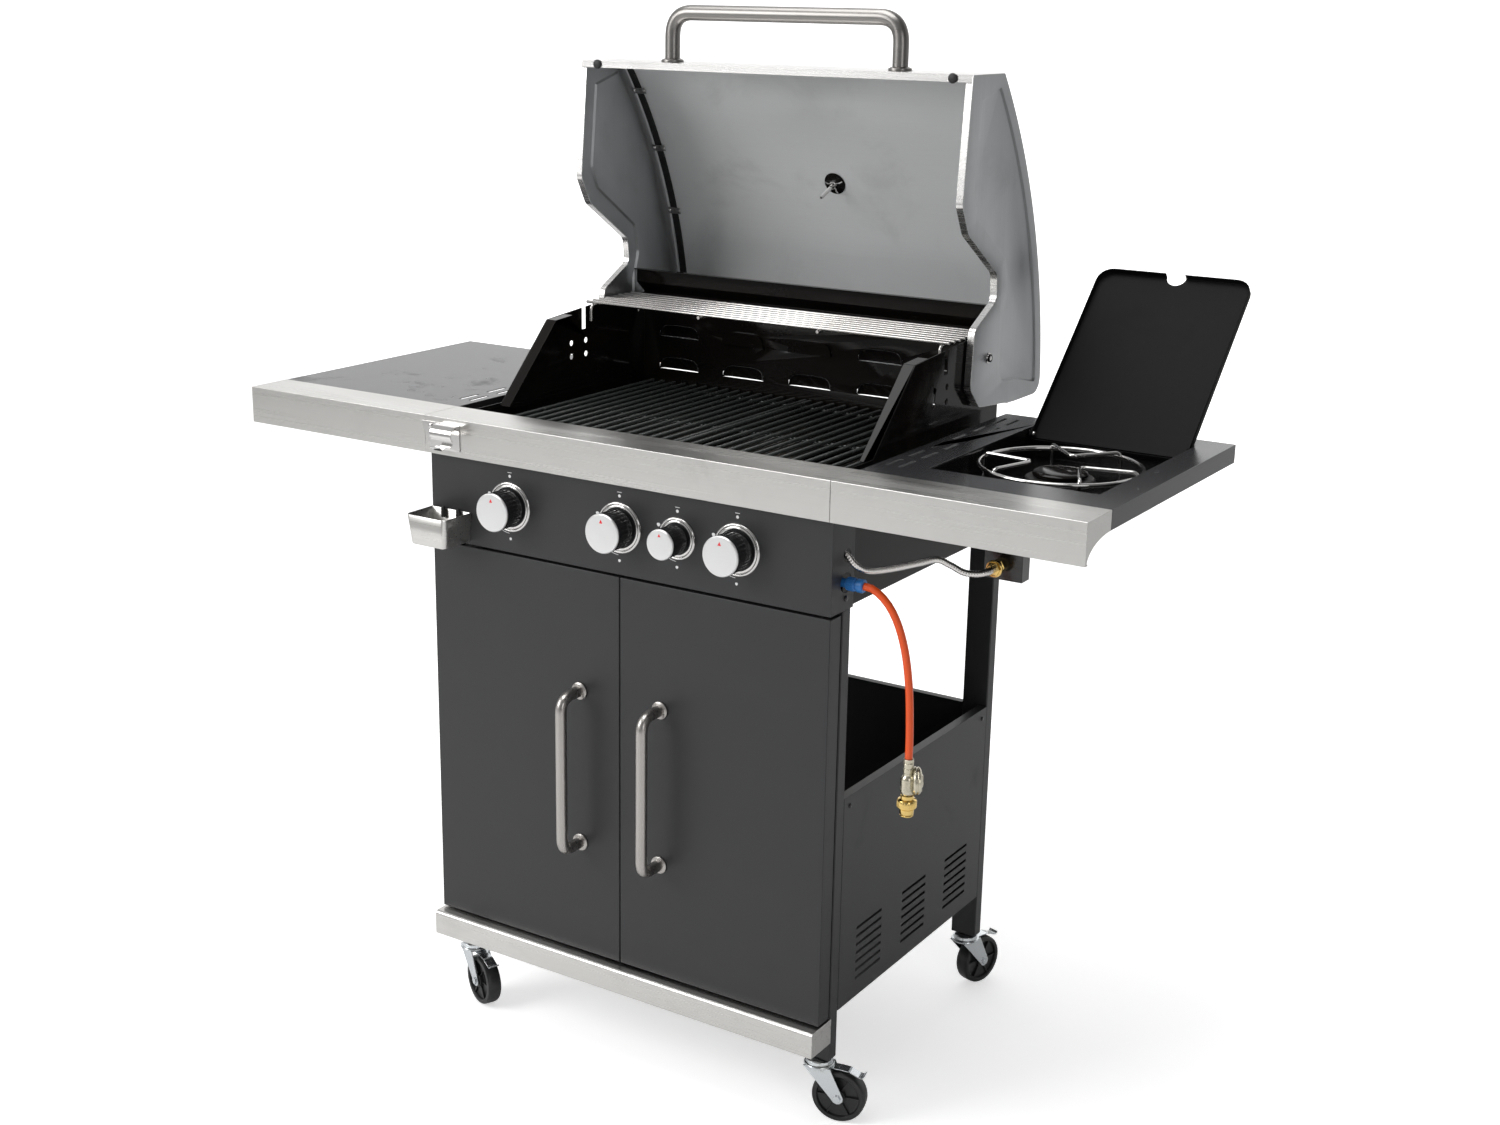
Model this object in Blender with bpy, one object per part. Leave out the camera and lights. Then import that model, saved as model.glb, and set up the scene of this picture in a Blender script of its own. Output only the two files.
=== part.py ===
"""Gas barbecue grill on a cabinet with four castors, a side burner and two fold-up lids.

Metres, +Z up. X runs along the front, Y from the front to the back. Heights count from the floor.
Depths are written from the front face of the worktop edge, and one parent empty then moves the whole
grill so that the origin is on the floor at the centre of its outline.
"""

import math

import bmesh
import bpy
from mathutils import Matrix, Vector

# ---------------------------------------------------------------- driving dimensions
GAP = 0.0003  # between pieces that touch
CUT_REACH = 0.010  # how far a cutting tool stands out past the sheet it cuts
WELD = 2e-6  # corners closer than this are one corner after a Boolean
SHEET = 0.0012  # sheet metal of panels and trims
PLATE = 0.0015  # heavier sheet of the firebox
FRONT_SHIFT = -0.3025  # world Y of the worktop edge's front face

WORKTOP_HEIGHT = 0.907
WIDTH = 1.320
CABINET_WIDTH = 0.649
SHELF_DEPTH = 0.497
SHELF_SKIRT = 0.0254
TRIM_HEIGHT = 0.053
TRIM_DEPTH = 0.071

POST_WIDTH = 0.040
POST_DEPTH = 0.020
POST_FOOT = 0.091
FRONT_POST_Y = 0.0545
REAR_POST_Y = 0.4995

PANEL_BOTTOM = WORKTOP_HEIGHT - 0.178
PANEL_TOP = WORKTOP_HEIGHT - 0.0025
PANEL_SIDE_DEPTH = 0.0565
PANEL_FACE_Y = 0.011
FIREBOX_BOTTOM = WORKTOP_HEIGHT - 0.187

DOOR_BOTTOM = 0.159
DOOR_THICKNESS = 0.0275
DOOR_HINGE_INSET = 0.010
DOOR_HINGE_BACK = 0.019
SIDE_PANEL_TOP = 0.466
BASE_Z = 0.159

FIREBOX_WIDTH = 0.610
FIREBOX_FRONT = 0.0735
FIREBOX_BACK = 0.5085
FIREBOX_TOP = WORKTOP_HEIGHT + 0.115
GRATE_TOP = WORKTOP_HEIGHT - 0.019
GRATE_ROD = 0.006
GRATE_PITCH = 0.0198
CHEEK_LIP = 0.018
BURNER_BACK = 0.470
BURNER_RADIUS = 0.0125
TRAY_HALF = 0.1645
RAIL_FRONT = 0.150
RAIL_BACK = 0.470
RAIL_LOW = WORKTOP_HEIGHT - 0.219
LEDGE_LOW = WORKTOP_HEIGHT - 0.081  # the ledge that carries the heat shields
CHEEK_SHOULDER = WORKTOP_HEIGHT + 0.103

LID_WIDTH = 0.635
LID_HINGE_Y = 0.444
LID_HINGE_Z = WORKTOP_HEIGHT + 0.086
LID_OPEN_ANGLE = math.radians(90)
LID_FLANGE = 0.010
HINGE_BOLT_RADIUS = 0.003

BURNER_CENTRE_X = 0.50475
BURNER_CENTRE_Y = 0.279
BURNER_WELL_WIDTH = 0.2275
BURNER_WELL_FRONT = 0.132
BURNER_WELL_DEPTH = 0.045
RING_RADIUS = 0.105
NOSE_RADIUS = 0.036
FITTING_X = 0.464
FITTING_Z = WORKTOP_HEIGHT - 0.131
PIPE_HIGH = WORKTOP_HEIGHT - 0.0885  # run of the gas pipe above the valves
HOSE_Z = WORKTOP_HEIGHT - 0.1415
BRACKET_Y = 0.200
BRACKET_LOW = WORKTOP_HEIGHT - 0.15
SIDE_LID_WIDTH = 0.2245
SIDE_LID_LENGTH = 0.294
SIDE_LID_HINGE_Y = 0.433
SIDE_LID_HINGE_Z = WORKTOP_HEIGHT - 0.007
SIDE_LID_RISE = 0.012
SIDE_LID_OPEN_ANGLE = math.radians(135.6)

KNOB_Z = WORKTOP_HEIGHT - 0.113
KNOB_PITCH = 0.1845
KNOB_RADIUS = 0.0268
SMALL_KNOB_RADIUS = 0.0205
KNOB_FACE_Y = -0.030
STEM_RADIUS = 0.004

WHEEL_RADIUS = 0.0375
WHEEL_WIDTH = 0.022
CASTOR_TRAIL = 0.030
AXLE_RADIUS = 0.004

HOSE_DIAMETER = 0.010
HOSE_SPACING = 0.010

HALF = WIDTH / 2
CABINET_HALF = CABINET_WIDTH / 2
FIREBOX_HALF = FIREBOX_WIDTH / 2
LID_HALF = LID_WIDTH / 2
POST_OUTER = CABINET_HALF - 0.0017
POST_X = POST_OUTER - POST_WIDTH / 2
FRONT_POST_BACK = FRONT_POST_Y + POST_DEPTH / 2
REAR_POST_FRONT = REAR_POST_Y - POST_DEPTH / 2
SHELF_TOP = WORKTOP_HEIGHT - 0.0004


def side_lid_stop():
    """Depth at which the leaning side lid's back meets the top of the shelf."""
    lean_sin, lean_cos = math.sin(SIDE_LID_OPEN_ANGLE), math.cos(SIDE_LID_OPEN_ANGLE)
    climb = (SHELF_TOP - SIDE_LID_HINGE_Z - SIDE_LID_RISE * lean_cos) / lean_sin
    return SIDE_LID_HINGE_Y + SIDE_LID_RISE * lean_sin - lean_cos * climb


BURNER_WELL_BACK = side_lid_stop() + 2 * GAP

# name: base colour, roughness, metallic
FINISHES = {
    "brushed_steel": ((0.60, 0.59, 0.57), 0.32, 1.0),
    "lid_steel": ((0.42, 0.42, 0.42), 0.36, 1.0),
    "polished_steel": ((0.62, 0.61, 0.60), 0.18, 1.0),
    "powder_coat": ((0.055, 0.055, 0.058), 0.48, 0.0),
    "enamel": ((0.008, 0.007, 0.006), 0.22, 0.0),
    "black_coat": ((0.014, 0.014, 0.015), 0.50, 0.0),
    "iron": ((0.030, 0.033, 0.032), 0.38, 0.0),
    "zinc": ((0.68, 0.71, 0.73), 0.30, 1.0),
    "wheel_plastic": ((0.016, 0.015, 0.015), 0.42, 0.0),
    "knob_plastic": ((0.020, 0.020, 0.021), 0.35, 0.0),
    "blue_plastic": ((0.03, 0.16, 0.48), 0.40, 0.0),
    "orange_rubber": ((0.78, 0.12, 0.02), 0.42, 0.0),
    "brass": ((0.72, 0.50, 0.18), 0.28, 1.0),
    "raw_zinc": ((0.60, 0.56, 0.44), 0.35, 1.0),
}


# ---------------------------------------------------------------- scene helpers
def clear_scene():
    for obj in list(bpy.data.objects):
        bpy.data.objects.remove(obj, do_unlink=True)


def material(name, finish):
    colour, roughness, metallic = FINISHES[finish]
    made = bpy.data.materials.new(name + "_" + finish)
    made.use_nodes = True
    shader = made.node_tree.nodes["Principled BSDF"]
    shader.inputs["Base Color"].default_value = (*colour, 1.0)
    shader.inputs["Roughness"].default_value = roughness
    shader.inputs["Metallic"].default_value = metallic
    return made


def empty(name, location, parent=None, turn=(0, 0, 0)):
    made = bpy.data.objects.new(name, None)
    bpy.context.scene.collection.objects.link(made)
    made.parent = parent
    made.location = location
    made.rotation_euler = turn
    return made


def piece(name, mesh, finish, parent, at=(0, 0, 0), smooth=False):
    """One named object. Its mesh is given in the parent's frame, and its own origin is put at `at`."""
    mesh.name = name
    mesh.transform(Matrix.Translation(-Vector(at)))
    mesh.materials.clear()
    mesh.materials.append(material(name, finish))
    if smooth:
        mesh.shade_smooth()
        mesh.set_sharp_from_angle(angle=math.radians(35))
    made = bpy.data.objects.new(name, mesh)
    bpy.context.scene.collection.objects.link(made)
    made.parent = parent
    made.location = at
    return made


# ---------------------------------------------------------------- shape helpers
def as_mesh(bm):
    bmesh.ops.recalc_face_normals(bm, faces=bm.faces)
    mesh = bpy.data.meshes.new("shape")
    bm.to_mesh(mesh)
    bm.free()
    return mesh


def prism(outline, axis, low, high):
    """A flat outline pushed along an axis. The outline holds the other two coordinates, in XYZ order."""
    place = {
        "x": lambda a, b, c: (c, a, b),
        "y": lambda a, b, c: (a, c, b),
        "z": lambda a, b, c: (a, b, c),
    }[axis]
    bm = bmesh.new()
    rings = [[bm.verts.new(place(a, b, c)) for a, b in outline] for c in (low, high)]
    for ring in rings:
        bm.faces.new(ring)
    count = len(outline)
    for i in range(count):
        j = (i + 1) % count
        bm.faces.new((rings[0][i], rings[0][j], rings[1][j], rings[1][i]))
    return as_mesh(bm)


def box(low, high):
    (x0, y0, z0), (x1, y1, z1) = low, high
    return prism([(x0, y0), (x1, y0), (x1, y1), (x0, y1)], "z", z0, z1)


def folded(path, thickness):
    """The outline of a sheet of this thickness folded along an open path, on the path's left."""
    path = [Vector(p) for p in path]
    far = []
    for i, point in enumerate(path):
        runs = []
        if i > 0:
            runs.append((point - path[i - 1]).normalized())
        if i < len(path) - 1:
            runs.append((path[i + 1] - point).normalized())
        sides = [Vector((-run.y, run.x)) for run in runs]
        out = sum(sides, Vector((0, 0))).normalized()
        far.append(point + out * (thickness / out.dot(sides[0])))
    return [tuple(p) for p in path + far[::-1]]


def arc(centre, radius, start, end, steps):
    """Points on a circle, or on an ellipse when radius is a pair. Angles are in degrees."""
    rx, ry = radius if isinstance(radius, tuple) else (radius, radius)
    angles = [math.radians(start + (end - start) * i / steps) for i in range(steps + 1)]
    return [(centre[0] + rx * math.cos(a), centre[1] + ry * math.sin(a)) for a in angles]


def turned(profile, base, direction, sides=24):
    """A profile of (radius, height) points turned round an axis that starts at base."""
    axis = Vector(direction).normalized()
    turn = Vector((0, 0, 1)).rotation_difference(axis).to_matrix()
    bm = bmesh.new()
    rings = []
    for radius, height in profile:
        if radius == 0:
            rings.append([bm.verts.new(Vector(base) + turn @ Vector((0, 0, height)))])
            continue
        ring = []
        for i in range(sides):
            a = 2 * math.pi * i / sides
            spot = Vector((radius * math.cos(a), radius * math.sin(a), height))
            ring.append(bm.verts.new(Vector(base) + turn @ spot))
        rings.append(ring)
    closed = profile[0][0] > 0
    pairs = list(zip(rings, rings[1:]))
    if closed:
        pairs.append((rings[-1], rings[0]))
    for near, far in pairs:
        for i in range(sides):
            j = (i + 1) % sides
            corners = [near[i % len(near)], near[j % len(near)], far[j % len(far)], far[i % len(far)]]
            unique = list(dict.fromkeys(corners))
            bm.faces.new(unique)
    return as_mesh(bm)


def rod(start, end, radius, sides=16):
    start, end = Vector(start), Vector(end)
    return turned([(0, 0), (radius, 0), (radius, (end - start).length), (0, (end - start).length)],
                  start, end - start, sides)


def tube(points, radius, sides=12, loop=False):
    """A round bar swept along points without twisting."""
    points = [Vector(p) for p in points]
    count = len(points)
    bm = bmesh.new()
    rings = []
    side = None
    for i, point in enumerate(points):
        before = points[i - 1] if i or loop else point
        after = points[(i + 1) % count] if i < count - 1 or loop else point
        run = (after - before).normalized()
        if side is None:
            side = run.orthogonal().normalized()
        side = (side - run * side.dot(run)).normalized()
        up = run.cross(side)
        ring = []
        for k in range(sides):
            a = 2 * math.pi * k / sides
            ring.append(bm.verts.new(point + radius * (math.cos(a) * side + math.sin(a) * up)))
        rings.append(ring)
    pairs = list(zip(rings, rings[1:]))
    if loop:
        pairs.append((rings[-1], rings[0]))
    else:
        bm.faces.new(rings[0])
        bm.faces.new(rings[-1])
    for near, far in pairs:
        for k in range(sides):
            j = (k + 1) % sides
            bm.faces.new((near[k], near[j], far[j], far[k]))
    return as_mesh(bm)


def round_corners(points, radius, steps=5):
    """A path with each inner corner replaced by an arc of this radius."""
    points = [Vector(p) for p in points]
    made = [points[0]]
    for before, corner, after in zip(points, points[1:], points[2:]):
        back, on = (before - corner).normalized(), (after - corner).normalized()
        half = back.angle(on) / 2
        reach = min(radius / math.tan(half), 0.49 * (before - corner).length, 0.49 * (after - corner).length)
        start, end = corner + back * reach, corner + on * reach
        for i in range(steps + 1):
            t = i / steps
            made.append(start * (1 - t) ** 2 + corner * 2 * t * (1 - t) + end * t**2)
    made.append(points[-1])
    return made


def gathered(meshes):
    """Several separate shapes held in one mesh, for use in one Boolean."""
    bm = bmesh.new()
    for mesh in meshes:
        bm.from_mesh(mesh)
    return as_mesh(bm)


def boolean(mesh, tool, operation):
    holder = bpy.data.objects.new("holder", mesh)
    other = bpy.data.objects.new("tool", tool)
    for obj in (holder, other):
        bpy.context.scene.collection.objects.link(obj)
    modifier = holder.modifiers.new("combine", "BOOLEAN")
    modifier.operation = operation
    modifier.solver = "EXACT"
    modifier.object = other
    graph = bpy.context.evaluated_depsgraph_get()
    made = bpy.data.meshes.new_from_object(holder.evaluated_get(graph))
    for obj in (holder, other):
        bpy.data.objects.remove(obj, do_unlink=True)
    bm = bmesh.new()
    bm.from_mesh(made)
    bmesh.ops.remove_doubles(bm, verts=bm.verts, dist=WELD)
    bmesh.ops.dissolve_degenerate(bm, dist=WELD, edges=bm.edges)
    bm.to_mesh(made)
    bm.free()
    return made


def united(first, *others):
    for other in others:
        first = boolean(first, other, "UNION")
    return first


def cut(mesh, tools):
    return boolean(mesh, gathered(tools), "DIFFERENCE")


def mirrored(mesh):
    """A copy of a shape for the other side of the grill."""
    made = mesh.copy()
    made.transform(Matrix.Scale(-1, 4, (1, 0, 0)))
    made.flip_normals()
    return made


def smooth_route(points, spacing):
    """Evenly spaced points on a smooth curve through the route's own points."""
    points = [Vector(p) for p in points]
    padded = [2 * points[0] - points[1], *points, 2 * points[-1] - points[-2]]
    fine = []
    for a, b, c, d in zip(padded, padded[1:], padded[2:], padded[3:]):
        for i in range(16):
            t = i / 16
            fine.append(0.5 * (2 * b + (c - a) * t + (2 * a - 5 * b + 4 * c - d) * t**2
                               + (3 * b - a - 3 * c + d) * t**3))
    fine.append(points[-1])
    lengths = [0.0]
    for a, b in zip(fine, fine[1:]):
        lengths.append(lengths[-1] + (b - a).length)
    count = max(2, round(lengths[-1] / spacing))
    made = []
    k = 0
    for i in range(count + 1):
        goal = lengths[-1] * i / count
        while k < len(fine) - 2 and lengths[k + 1] < goal:
            k += 1
        share = (goal - lengths[k]) / (lengths[k + 1] - lengths[k])
        made.append(fine[k].lerp(fine[k + 1], min(1.0, share)))
    return made


def hose_curve(name, points, diameter, finish, parent, resolution):
    """A curve tube with filled caps."""
    curve = bpy.data.curves.new(name, "CURVE")
    curve.dimensions = "3D"
    curve.bevel_depth = diameter / 2
    curve.bevel_resolution = resolution
    curve.use_fill_caps = True
    spline = curve.splines.new("POLY")
    spline.points.add(len(points) - 1)
    for spot, point in zip(spline.points, points):
        spot.co = (*point, 1.0)
    curve.materials.append(material(name, finish))
    made = bpy.data.objects.new(name, curve)
    bpy.context.scene.collection.objects.link(made)
    made.parent = parent
    return made


# ---------------------------------------------------------------- cabinet
def make_posts(grill):
    ends = (("front", FRONT_POST_Y, PANEL_BOTTOM - GAP), ("rear", REAR_POST_Y, FIREBOX_BOTTOM - GAP))
    for end, y, high in ends:
        low = POST_FOOT
        w, d, wall = POST_WIDTH / 2, POST_DEPTH / 2, PLATE
        for side, sign in (("left", -1), ("right", 1)):
            x = sign * POST_X
            post = box((x - w, y - d, low), (x + w, y + d, high))
            hollow = box((x - w + wall, y - d + wall, low + 2 * wall),
                         (x + w - wall, y + d - wall, high + wall))
            piece(f"{end}_post_{side}", cut(post, [hollow]), "powder_coat", grill)


def make_side_panels(grill):
    """Lower side panels, each with a folded top lip and three groups of seven vent slots."""
    front, back = FRONT_POST_BACK + GAP, REAR_POST_FRONT - GAP
    lip = 0.014
    outer = POST_OUTER
    section = folded([(outer, BASE_Z), (outer, SIDE_PANEL_TOP), (outer - lip, SIDE_PANEL_TOP)], SHEET)
    panel = prism(section, "y", front, back)
    slot_length, slot_height, slot_pitch, slot_low = 0.071, 0.0042, 0.0125, 0.187
    group_pitch = 0.131
    middle = (front + back) / 2
    slots = []
    for group in (-1, 0, 1):
        y = middle + group * group_pitch
        for row in range(7):
            z = slot_low + row * slot_pitch
            slots.append(box((outer - 0.005, y - slot_length / 2, z - slot_height / 2),
                             (outer + 0.005, y + slot_length / 2, z + slot_height / 2)))
    panel = cut(panel, slots)
    piece("side_panel_left", mirrored(panel), "powder_coat", grill)
    piece("side_panel_right", panel, "powder_coat", grill)


def make_rear_panel(grill):
    edge = POST_X - POST_WIDTH / 2 - GAP
    lip = 0.012
    back = REAR_POST_Y
    section = folded([(back, BASE_Z), (back, SIDE_PANEL_TOP), (back - lip, SIDE_PANEL_TOP)], SHEET)
    piece("rear_panel", prism(section, "x", -edge, edge), "powder_coat", grill)


def make_base(grill):
    """Bottom shelf, a tray turned upside down between the posts, and the bright bar below the doors."""
    half = POST_OUTER - SHEET - GAP
    front, back, skirt = FRONT_POST_BACK + GAP, REAR_POST_FRONT - GAP, 0.018
    top = BASE_Z + skirt
    shelf = box((-half, front, BASE_Z + GAP), (half, back, top))
    hollow = box((-half + SHEET, front + SHEET, BASE_Z - SHEET), (half - SHEET, back - SHEET, top - SHEET))
    piece("bottom_shelf", cut(shelf, [hollow]), "powder_coat", grill)

    low, high, front, back = 0.120, 0.156, -0.007, FRONT_POST_Y - POST_DEPTH / 2 - GAP
    radius = 0.006
    end = CABINET_HALF + 0.0005
    corner = arc((front + radius, high - radius), radius, 90, 180, 5)
    section = [(back, low), (back, high), *corner, (front, low)]
    bar = prism(section, "x", -end, end)
    inner_corner = arc((front + radius, high - radius), radius - SHEET, 90, 180, 5)
    inner = [(back + SHEET, low - SHEET), (back + SHEET, high - SHEET), *inner_corner,
             (front + SHEET, low - SHEET)]
    hollow = prism(inner, "x", -end + SHEET, end - SHEET)
    piece("bottom_trim", cut(bar, [hollow]), "brushed_steel", grill, smooth=True)


def make_door(grill, side, sign):
    """A shallow tray of sheet with its pivot near the outer edge, and a bent tube handle."""
    outer = CABINET_HALF - 0.0005
    axis_x, axis_y = outer - DOOR_HINGE_INSET, PANEL_FACE_Y + DOOR_HINGE_BACK
    top = PANEL_BOTTOM - 0.004
    hinge = empty(f"door_{side}_hinge", (sign * axis_x, axis_y, 0), grill)
    inner_edge, outer_edge = 0.0008 - axis_x, outer - axis_x
    front, back = PANEL_FACE_Y - axis_y, PANEL_FACE_Y + DOOR_THICKNESS - axis_y
    shell = box((inner_edge, front, DOOR_BOTTOM), (outer_edge, back, top))
    wall = SHEET
    lip = 0.012
    hollow = box((inner_edge + wall, front + wall, DOOR_BOTTOM + wall),
                 (outer_edge - wall, back - wall, top - wall))
    mouth = box((inner_edge + lip, back - 2 * wall, DOOR_BOTTOM + lip),
                (outer_edge - 2 * lip, back + wall, top - lip))
    door = cut(cut(shell, [hollow]), [mouth])
    tube_radius, flange_radius, flange_thick = 0.008, 0.0125, 0.003
    reach, foot_x, foot_low, foot_high = 0.043, 0.067 - axis_x, 0.3265, 0.5515
    face = front - GAP
    path = round_corners([(foot_x, face, foot_low), (foot_x, face - reach, foot_low),
                          (foot_x, face - reach, foot_high), (foot_x, face, foot_high)], 0.028, 6)
    handle = tube(path, tube_radius, 10)
    flanges = [rod((foot_x, face, z), (foot_x, face - flange_thick, z), flange_radius, 20)
               for z in (foot_low, foot_high)]
    handle = united(handle, gathered(flanges))
    if sign < 0:
        door, handle = mirrored(door), mirrored(handle)
    piece(f"door_{side}", door, "powder_coat", hinge)
    piece(f"door_handle_{side}", handle, "polished_steel", hinge, smooth=True)


# ---------------------------------------------------------------- worktop
def trim_section():
    """Worktop edge seen from its end: a front face with a top flange and a small bottom lip."""
    low = WORKTOP_HEIGHT - TRIM_HEIGHT
    lip = 0.008
    return folded([(lip, low), (0, low), (0, WORKTOP_HEIGHT), (TRIM_DEPTH, WORKTOP_HEIGHT)][::-1], SHEET)


def make_trims(grill):
    seam = CABINET_HALF
    piece("center_trim", prism(trim_section(), "x", -seam + GAP, seam - GAP), "brushed_steel", grill)
    low = WORKTOP_HEIGHT - TRIM_HEIGHT
    face = prism(trim_section(), "x", seam + GAP, HALF)
    skirt_z = WORKTOP_HEIGHT - SHELF_SKIRT
    hook = arc((TRIM_DEPTH, low), (TRIM_DEPTH - 0.004, skirt_z - low), 90, 180, 7)
    cap_outline = [(0, low), (0, WORKTOP_HEIGHT), (TRIM_DEPTH, WORKTOP_HEIGHT), *hook]
    cap = prism(cap_outline, "x", HALF - SHEET, HALF)
    trim = united(face, cap)
    piece("left_trim", mirrored(trim), "brushed_steel", grill)
    piece("right_trim", trim, "brushed_steel", grill)


def shelf_shell():
    """Side shelf: a sheet with skirts folded down on its three free sides and along the firebox."""
    top, bottom = SHELF_TOP, WORKTOP_HEIGHT - SHELF_SKIRT
    inner, front = CABINET_HALF + GAP, TRIM_DEPTH + GAP
    shell = box((inner, front, bottom), (HALF, SHELF_DEPTH, top))
    hollow = box((inner + SHEET, front + SHEET, bottom - SHEET),
                 (HALF - SHEET, SHELF_DEPTH - SHEET, top - SHEET))
    return cut(shell, [hollow])


def shelf_slots():
    """Two rows of vent slots beside the firebox."""
    length, width, step, count, first = 0.040, 0.005, 0.062, 6, 0.135
    low, high = SHELF_TOP - CUT_REACH, SHELF_TOP + CUT_REACH
    slots = []
    for row_x in (CABINET_HALF + 0.0155, CABINET_HALF + 0.0335):
        for k in range(count):
            y = first + k * step
            slots.append(box((row_x - width / 2, y - length / 2, low),
                             (row_x + width / 2, y + length / 2, high)))
    return slots


def make_shelves(grill):
    piece("left_shelf", mirrored(cut(shelf_shell(), shelf_slots())), "powder_coat", grill)
    w = BURNER_WELL_WIDTH / 2
    well = box((BURNER_CENTRE_X - w, BURNER_WELL_FRONT, SHELF_TOP - CUT_REACH),
               (BURNER_CENTRE_X + w, BURNER_WELL_BACK, SHELF_TOP + CUT_REACH))
    piece("right_shelf", cut(shelf_shell(), [well, *shelf_slots()]), "powder_coat", grill)


def make_side_burner(grill):
    """Well, burner head, wire pan support and the folding lid of the side burner."""
    w = BURNER_WELL_WIDTH / 2
    top = SHELF_TOP - SHEET - GAP
    floor = top - BURNER_WELL_DEPTH
    x, front, back = BURNER_CENTRE_X, BURNER_WELL_FRONT, BURNER_WELL_BACK
    flange = 0.008
    plate = box((x - w - flange, front - flange, top - SHEET), (x + w + flange, back + flange, top))
    tub = box((x - w - SHEET, front - SHEET, floor), (x + w + SHEET, back + SHEET, top - SHEET / 2))
    hollow = box((x - w, front, floor + SHEET), (x + w, back, top + SHEET))
    bracket_half, ear_depth = 0.027, 0.022
    left, right, high = FITTING_X + 0.004 - bracket_half, FITTING_X + 0.004 + bracket_half, floor + SHEET / 2
    bracket = box((left, BRACKET_Y, BRACKET_LOW), (right, BRACKET_Y + PLATE, high))
    ear = box((right - PLATE, BRACKET_Y, BRACKET_LOW), (right, BRACKET_Y + ear_depth, high))
    pan = cut(united(plate, tub), [hollow])
    pan = united(pan, united(bracket, ear))
    pivot_holes = rod((x - w - CUT_REACH, SIDE_LID_HINGE_Y, SIDE_LID_HINGE_Z),
                      (x + w + CUT_REACH, SIDE_LID_HINGE_Y, SIDE_LID_HINGE_Z), 0.0024, 12)
    piece("side_burner_pan", cut(pan, [pivot_holes]), "enamel", grill)

    base = floor + SHEET + GAP
    profile = [(0, 0), (0.030, 0), (0.034, 0.008), (0.046, 0.012), (0.046, 0.022), (0.036, 0.023),
               (0.036, 0.028), (0.033, 0.031), (0, 0.032)]
    head = turned(profile, (x, BURNER_CENTRE_Y, base), (0, 0, 1), 24)
    piece("side_burner_head", head, "enamel", grill, smooth=True)

    wire = 0.003
    ring_z = SIDE_LID_HINGE_Z - wire
    ring = [(x + RING_RADIUS * math.cos(a), BURNER_CENTRE_Y + RING_RADIUS * math.sin(a), ring_z)
            for a in (2 * math.pi * i / 28 for i in range(28))]
    support = tube(ring, wire, 6, loop=True)
    for k in range(3):
        centre = math.radians(-147 + 120 * k)
        spread = math.radians(27)
        arms = []
        for turn in (-spread, spread):
            a = centre + turn
            for z in (base, ring_z + 2 * wire):
                arms.append((x + RING_RADIUS * math.cos(a), BURNER_CENTRE_Y + RING_RADIUS * math.sin(a), z))
        nose = (x + NOSE_RADIUS * math.cos(centre), BURNER_CENTRE_Y + NOSE_RADIUS * math.sin(centre),
                ring_z + 2 * wire)
        bend = round_corners([arms[0], arms[1], nose, arms[3], arms[2]], 0.008, 2)
        support = united(support, tube(bend, wire * 0.85, 6))
    piece("pan_support", support, "polished_steel", grill, smooth=True)


def make_side_lid(grill):
    """Drawn-sheet lid with a rolled rim and a finger notch, made shut and then leant back on its pivots."""
    hinge = empty("side_lid_hinge", (BURNER_CENTRE_X, SIDE_LID_HINGE_Y, SIDE_LID_HINGE_Z), grill,
                  (-SIDE_LID_OPEN_ANGLE, 0, 0))
    half = SIDE_LID_WIDTH / 2
    top, rim_low, radius, tail = SIDE_LID_RISE, 0.002, 0.022, 0.010

    def outline(inset):
        h, r = half - inset, radius - inset
        far, near = -SIDE_LID_LENGTH + inset, tail - inset
        small = 0.006 - inset
        return (arc((-h + r, far + r), r, 180, 270, 5) + arc((h - r, far + r), r, 270, 360, 5)
                + arc((h - small, near - small), small, 0, 90, 2)
                + arc((-h + small, near - small), small, 90, 180, 2))

    hollow = prism(outline(SHEET), "z", rim_low - SHEET, top - SHEET)
    shell = cut(prism(outline(0), "z", rim_low, top), [hollow])
    notch = rod((0, -SIDE_LID_LENGTH, rim_low - CUT_REACH), (0, -SIDE_LID_LENGTH, top + CUT_REACH), 0.014, 20)
    shell = cut(shell, [notch])
    parts = [shell]
    for sign in (-1, 1):
        ear_outer, ear_inner = sign * (half - 0.0003), sign * (half - 0.003)
        low_x, high_x = min(ear_outer, ear_inner), max(ear_outer, ear_inner)
        parts.append(box((low_x, -0.007, -0.004), (high_x, 0.007, top - SHEET / 2)))
        parts.append(rod((sign * (half - 0.002), 0, 0), (sign * (half + 0.004), 0, 0), 0.0017, 8))
    piece("side_burner_lid", united(*parts), "black_coat", hinge, smooth=True)


# ---------------------------------------------------------------- controls and gas
def knob_places():
    return [("1", -KNOB_PITCH, KNOB_RADIUS), ("2", 0.0, KNOB_RADIUS),
            ("side", KNOB_PITCH / 2, SMALL_KNOB_RADIUS), ("3", KNOB_PITCH, KNOB_RADIUS)]


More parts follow.
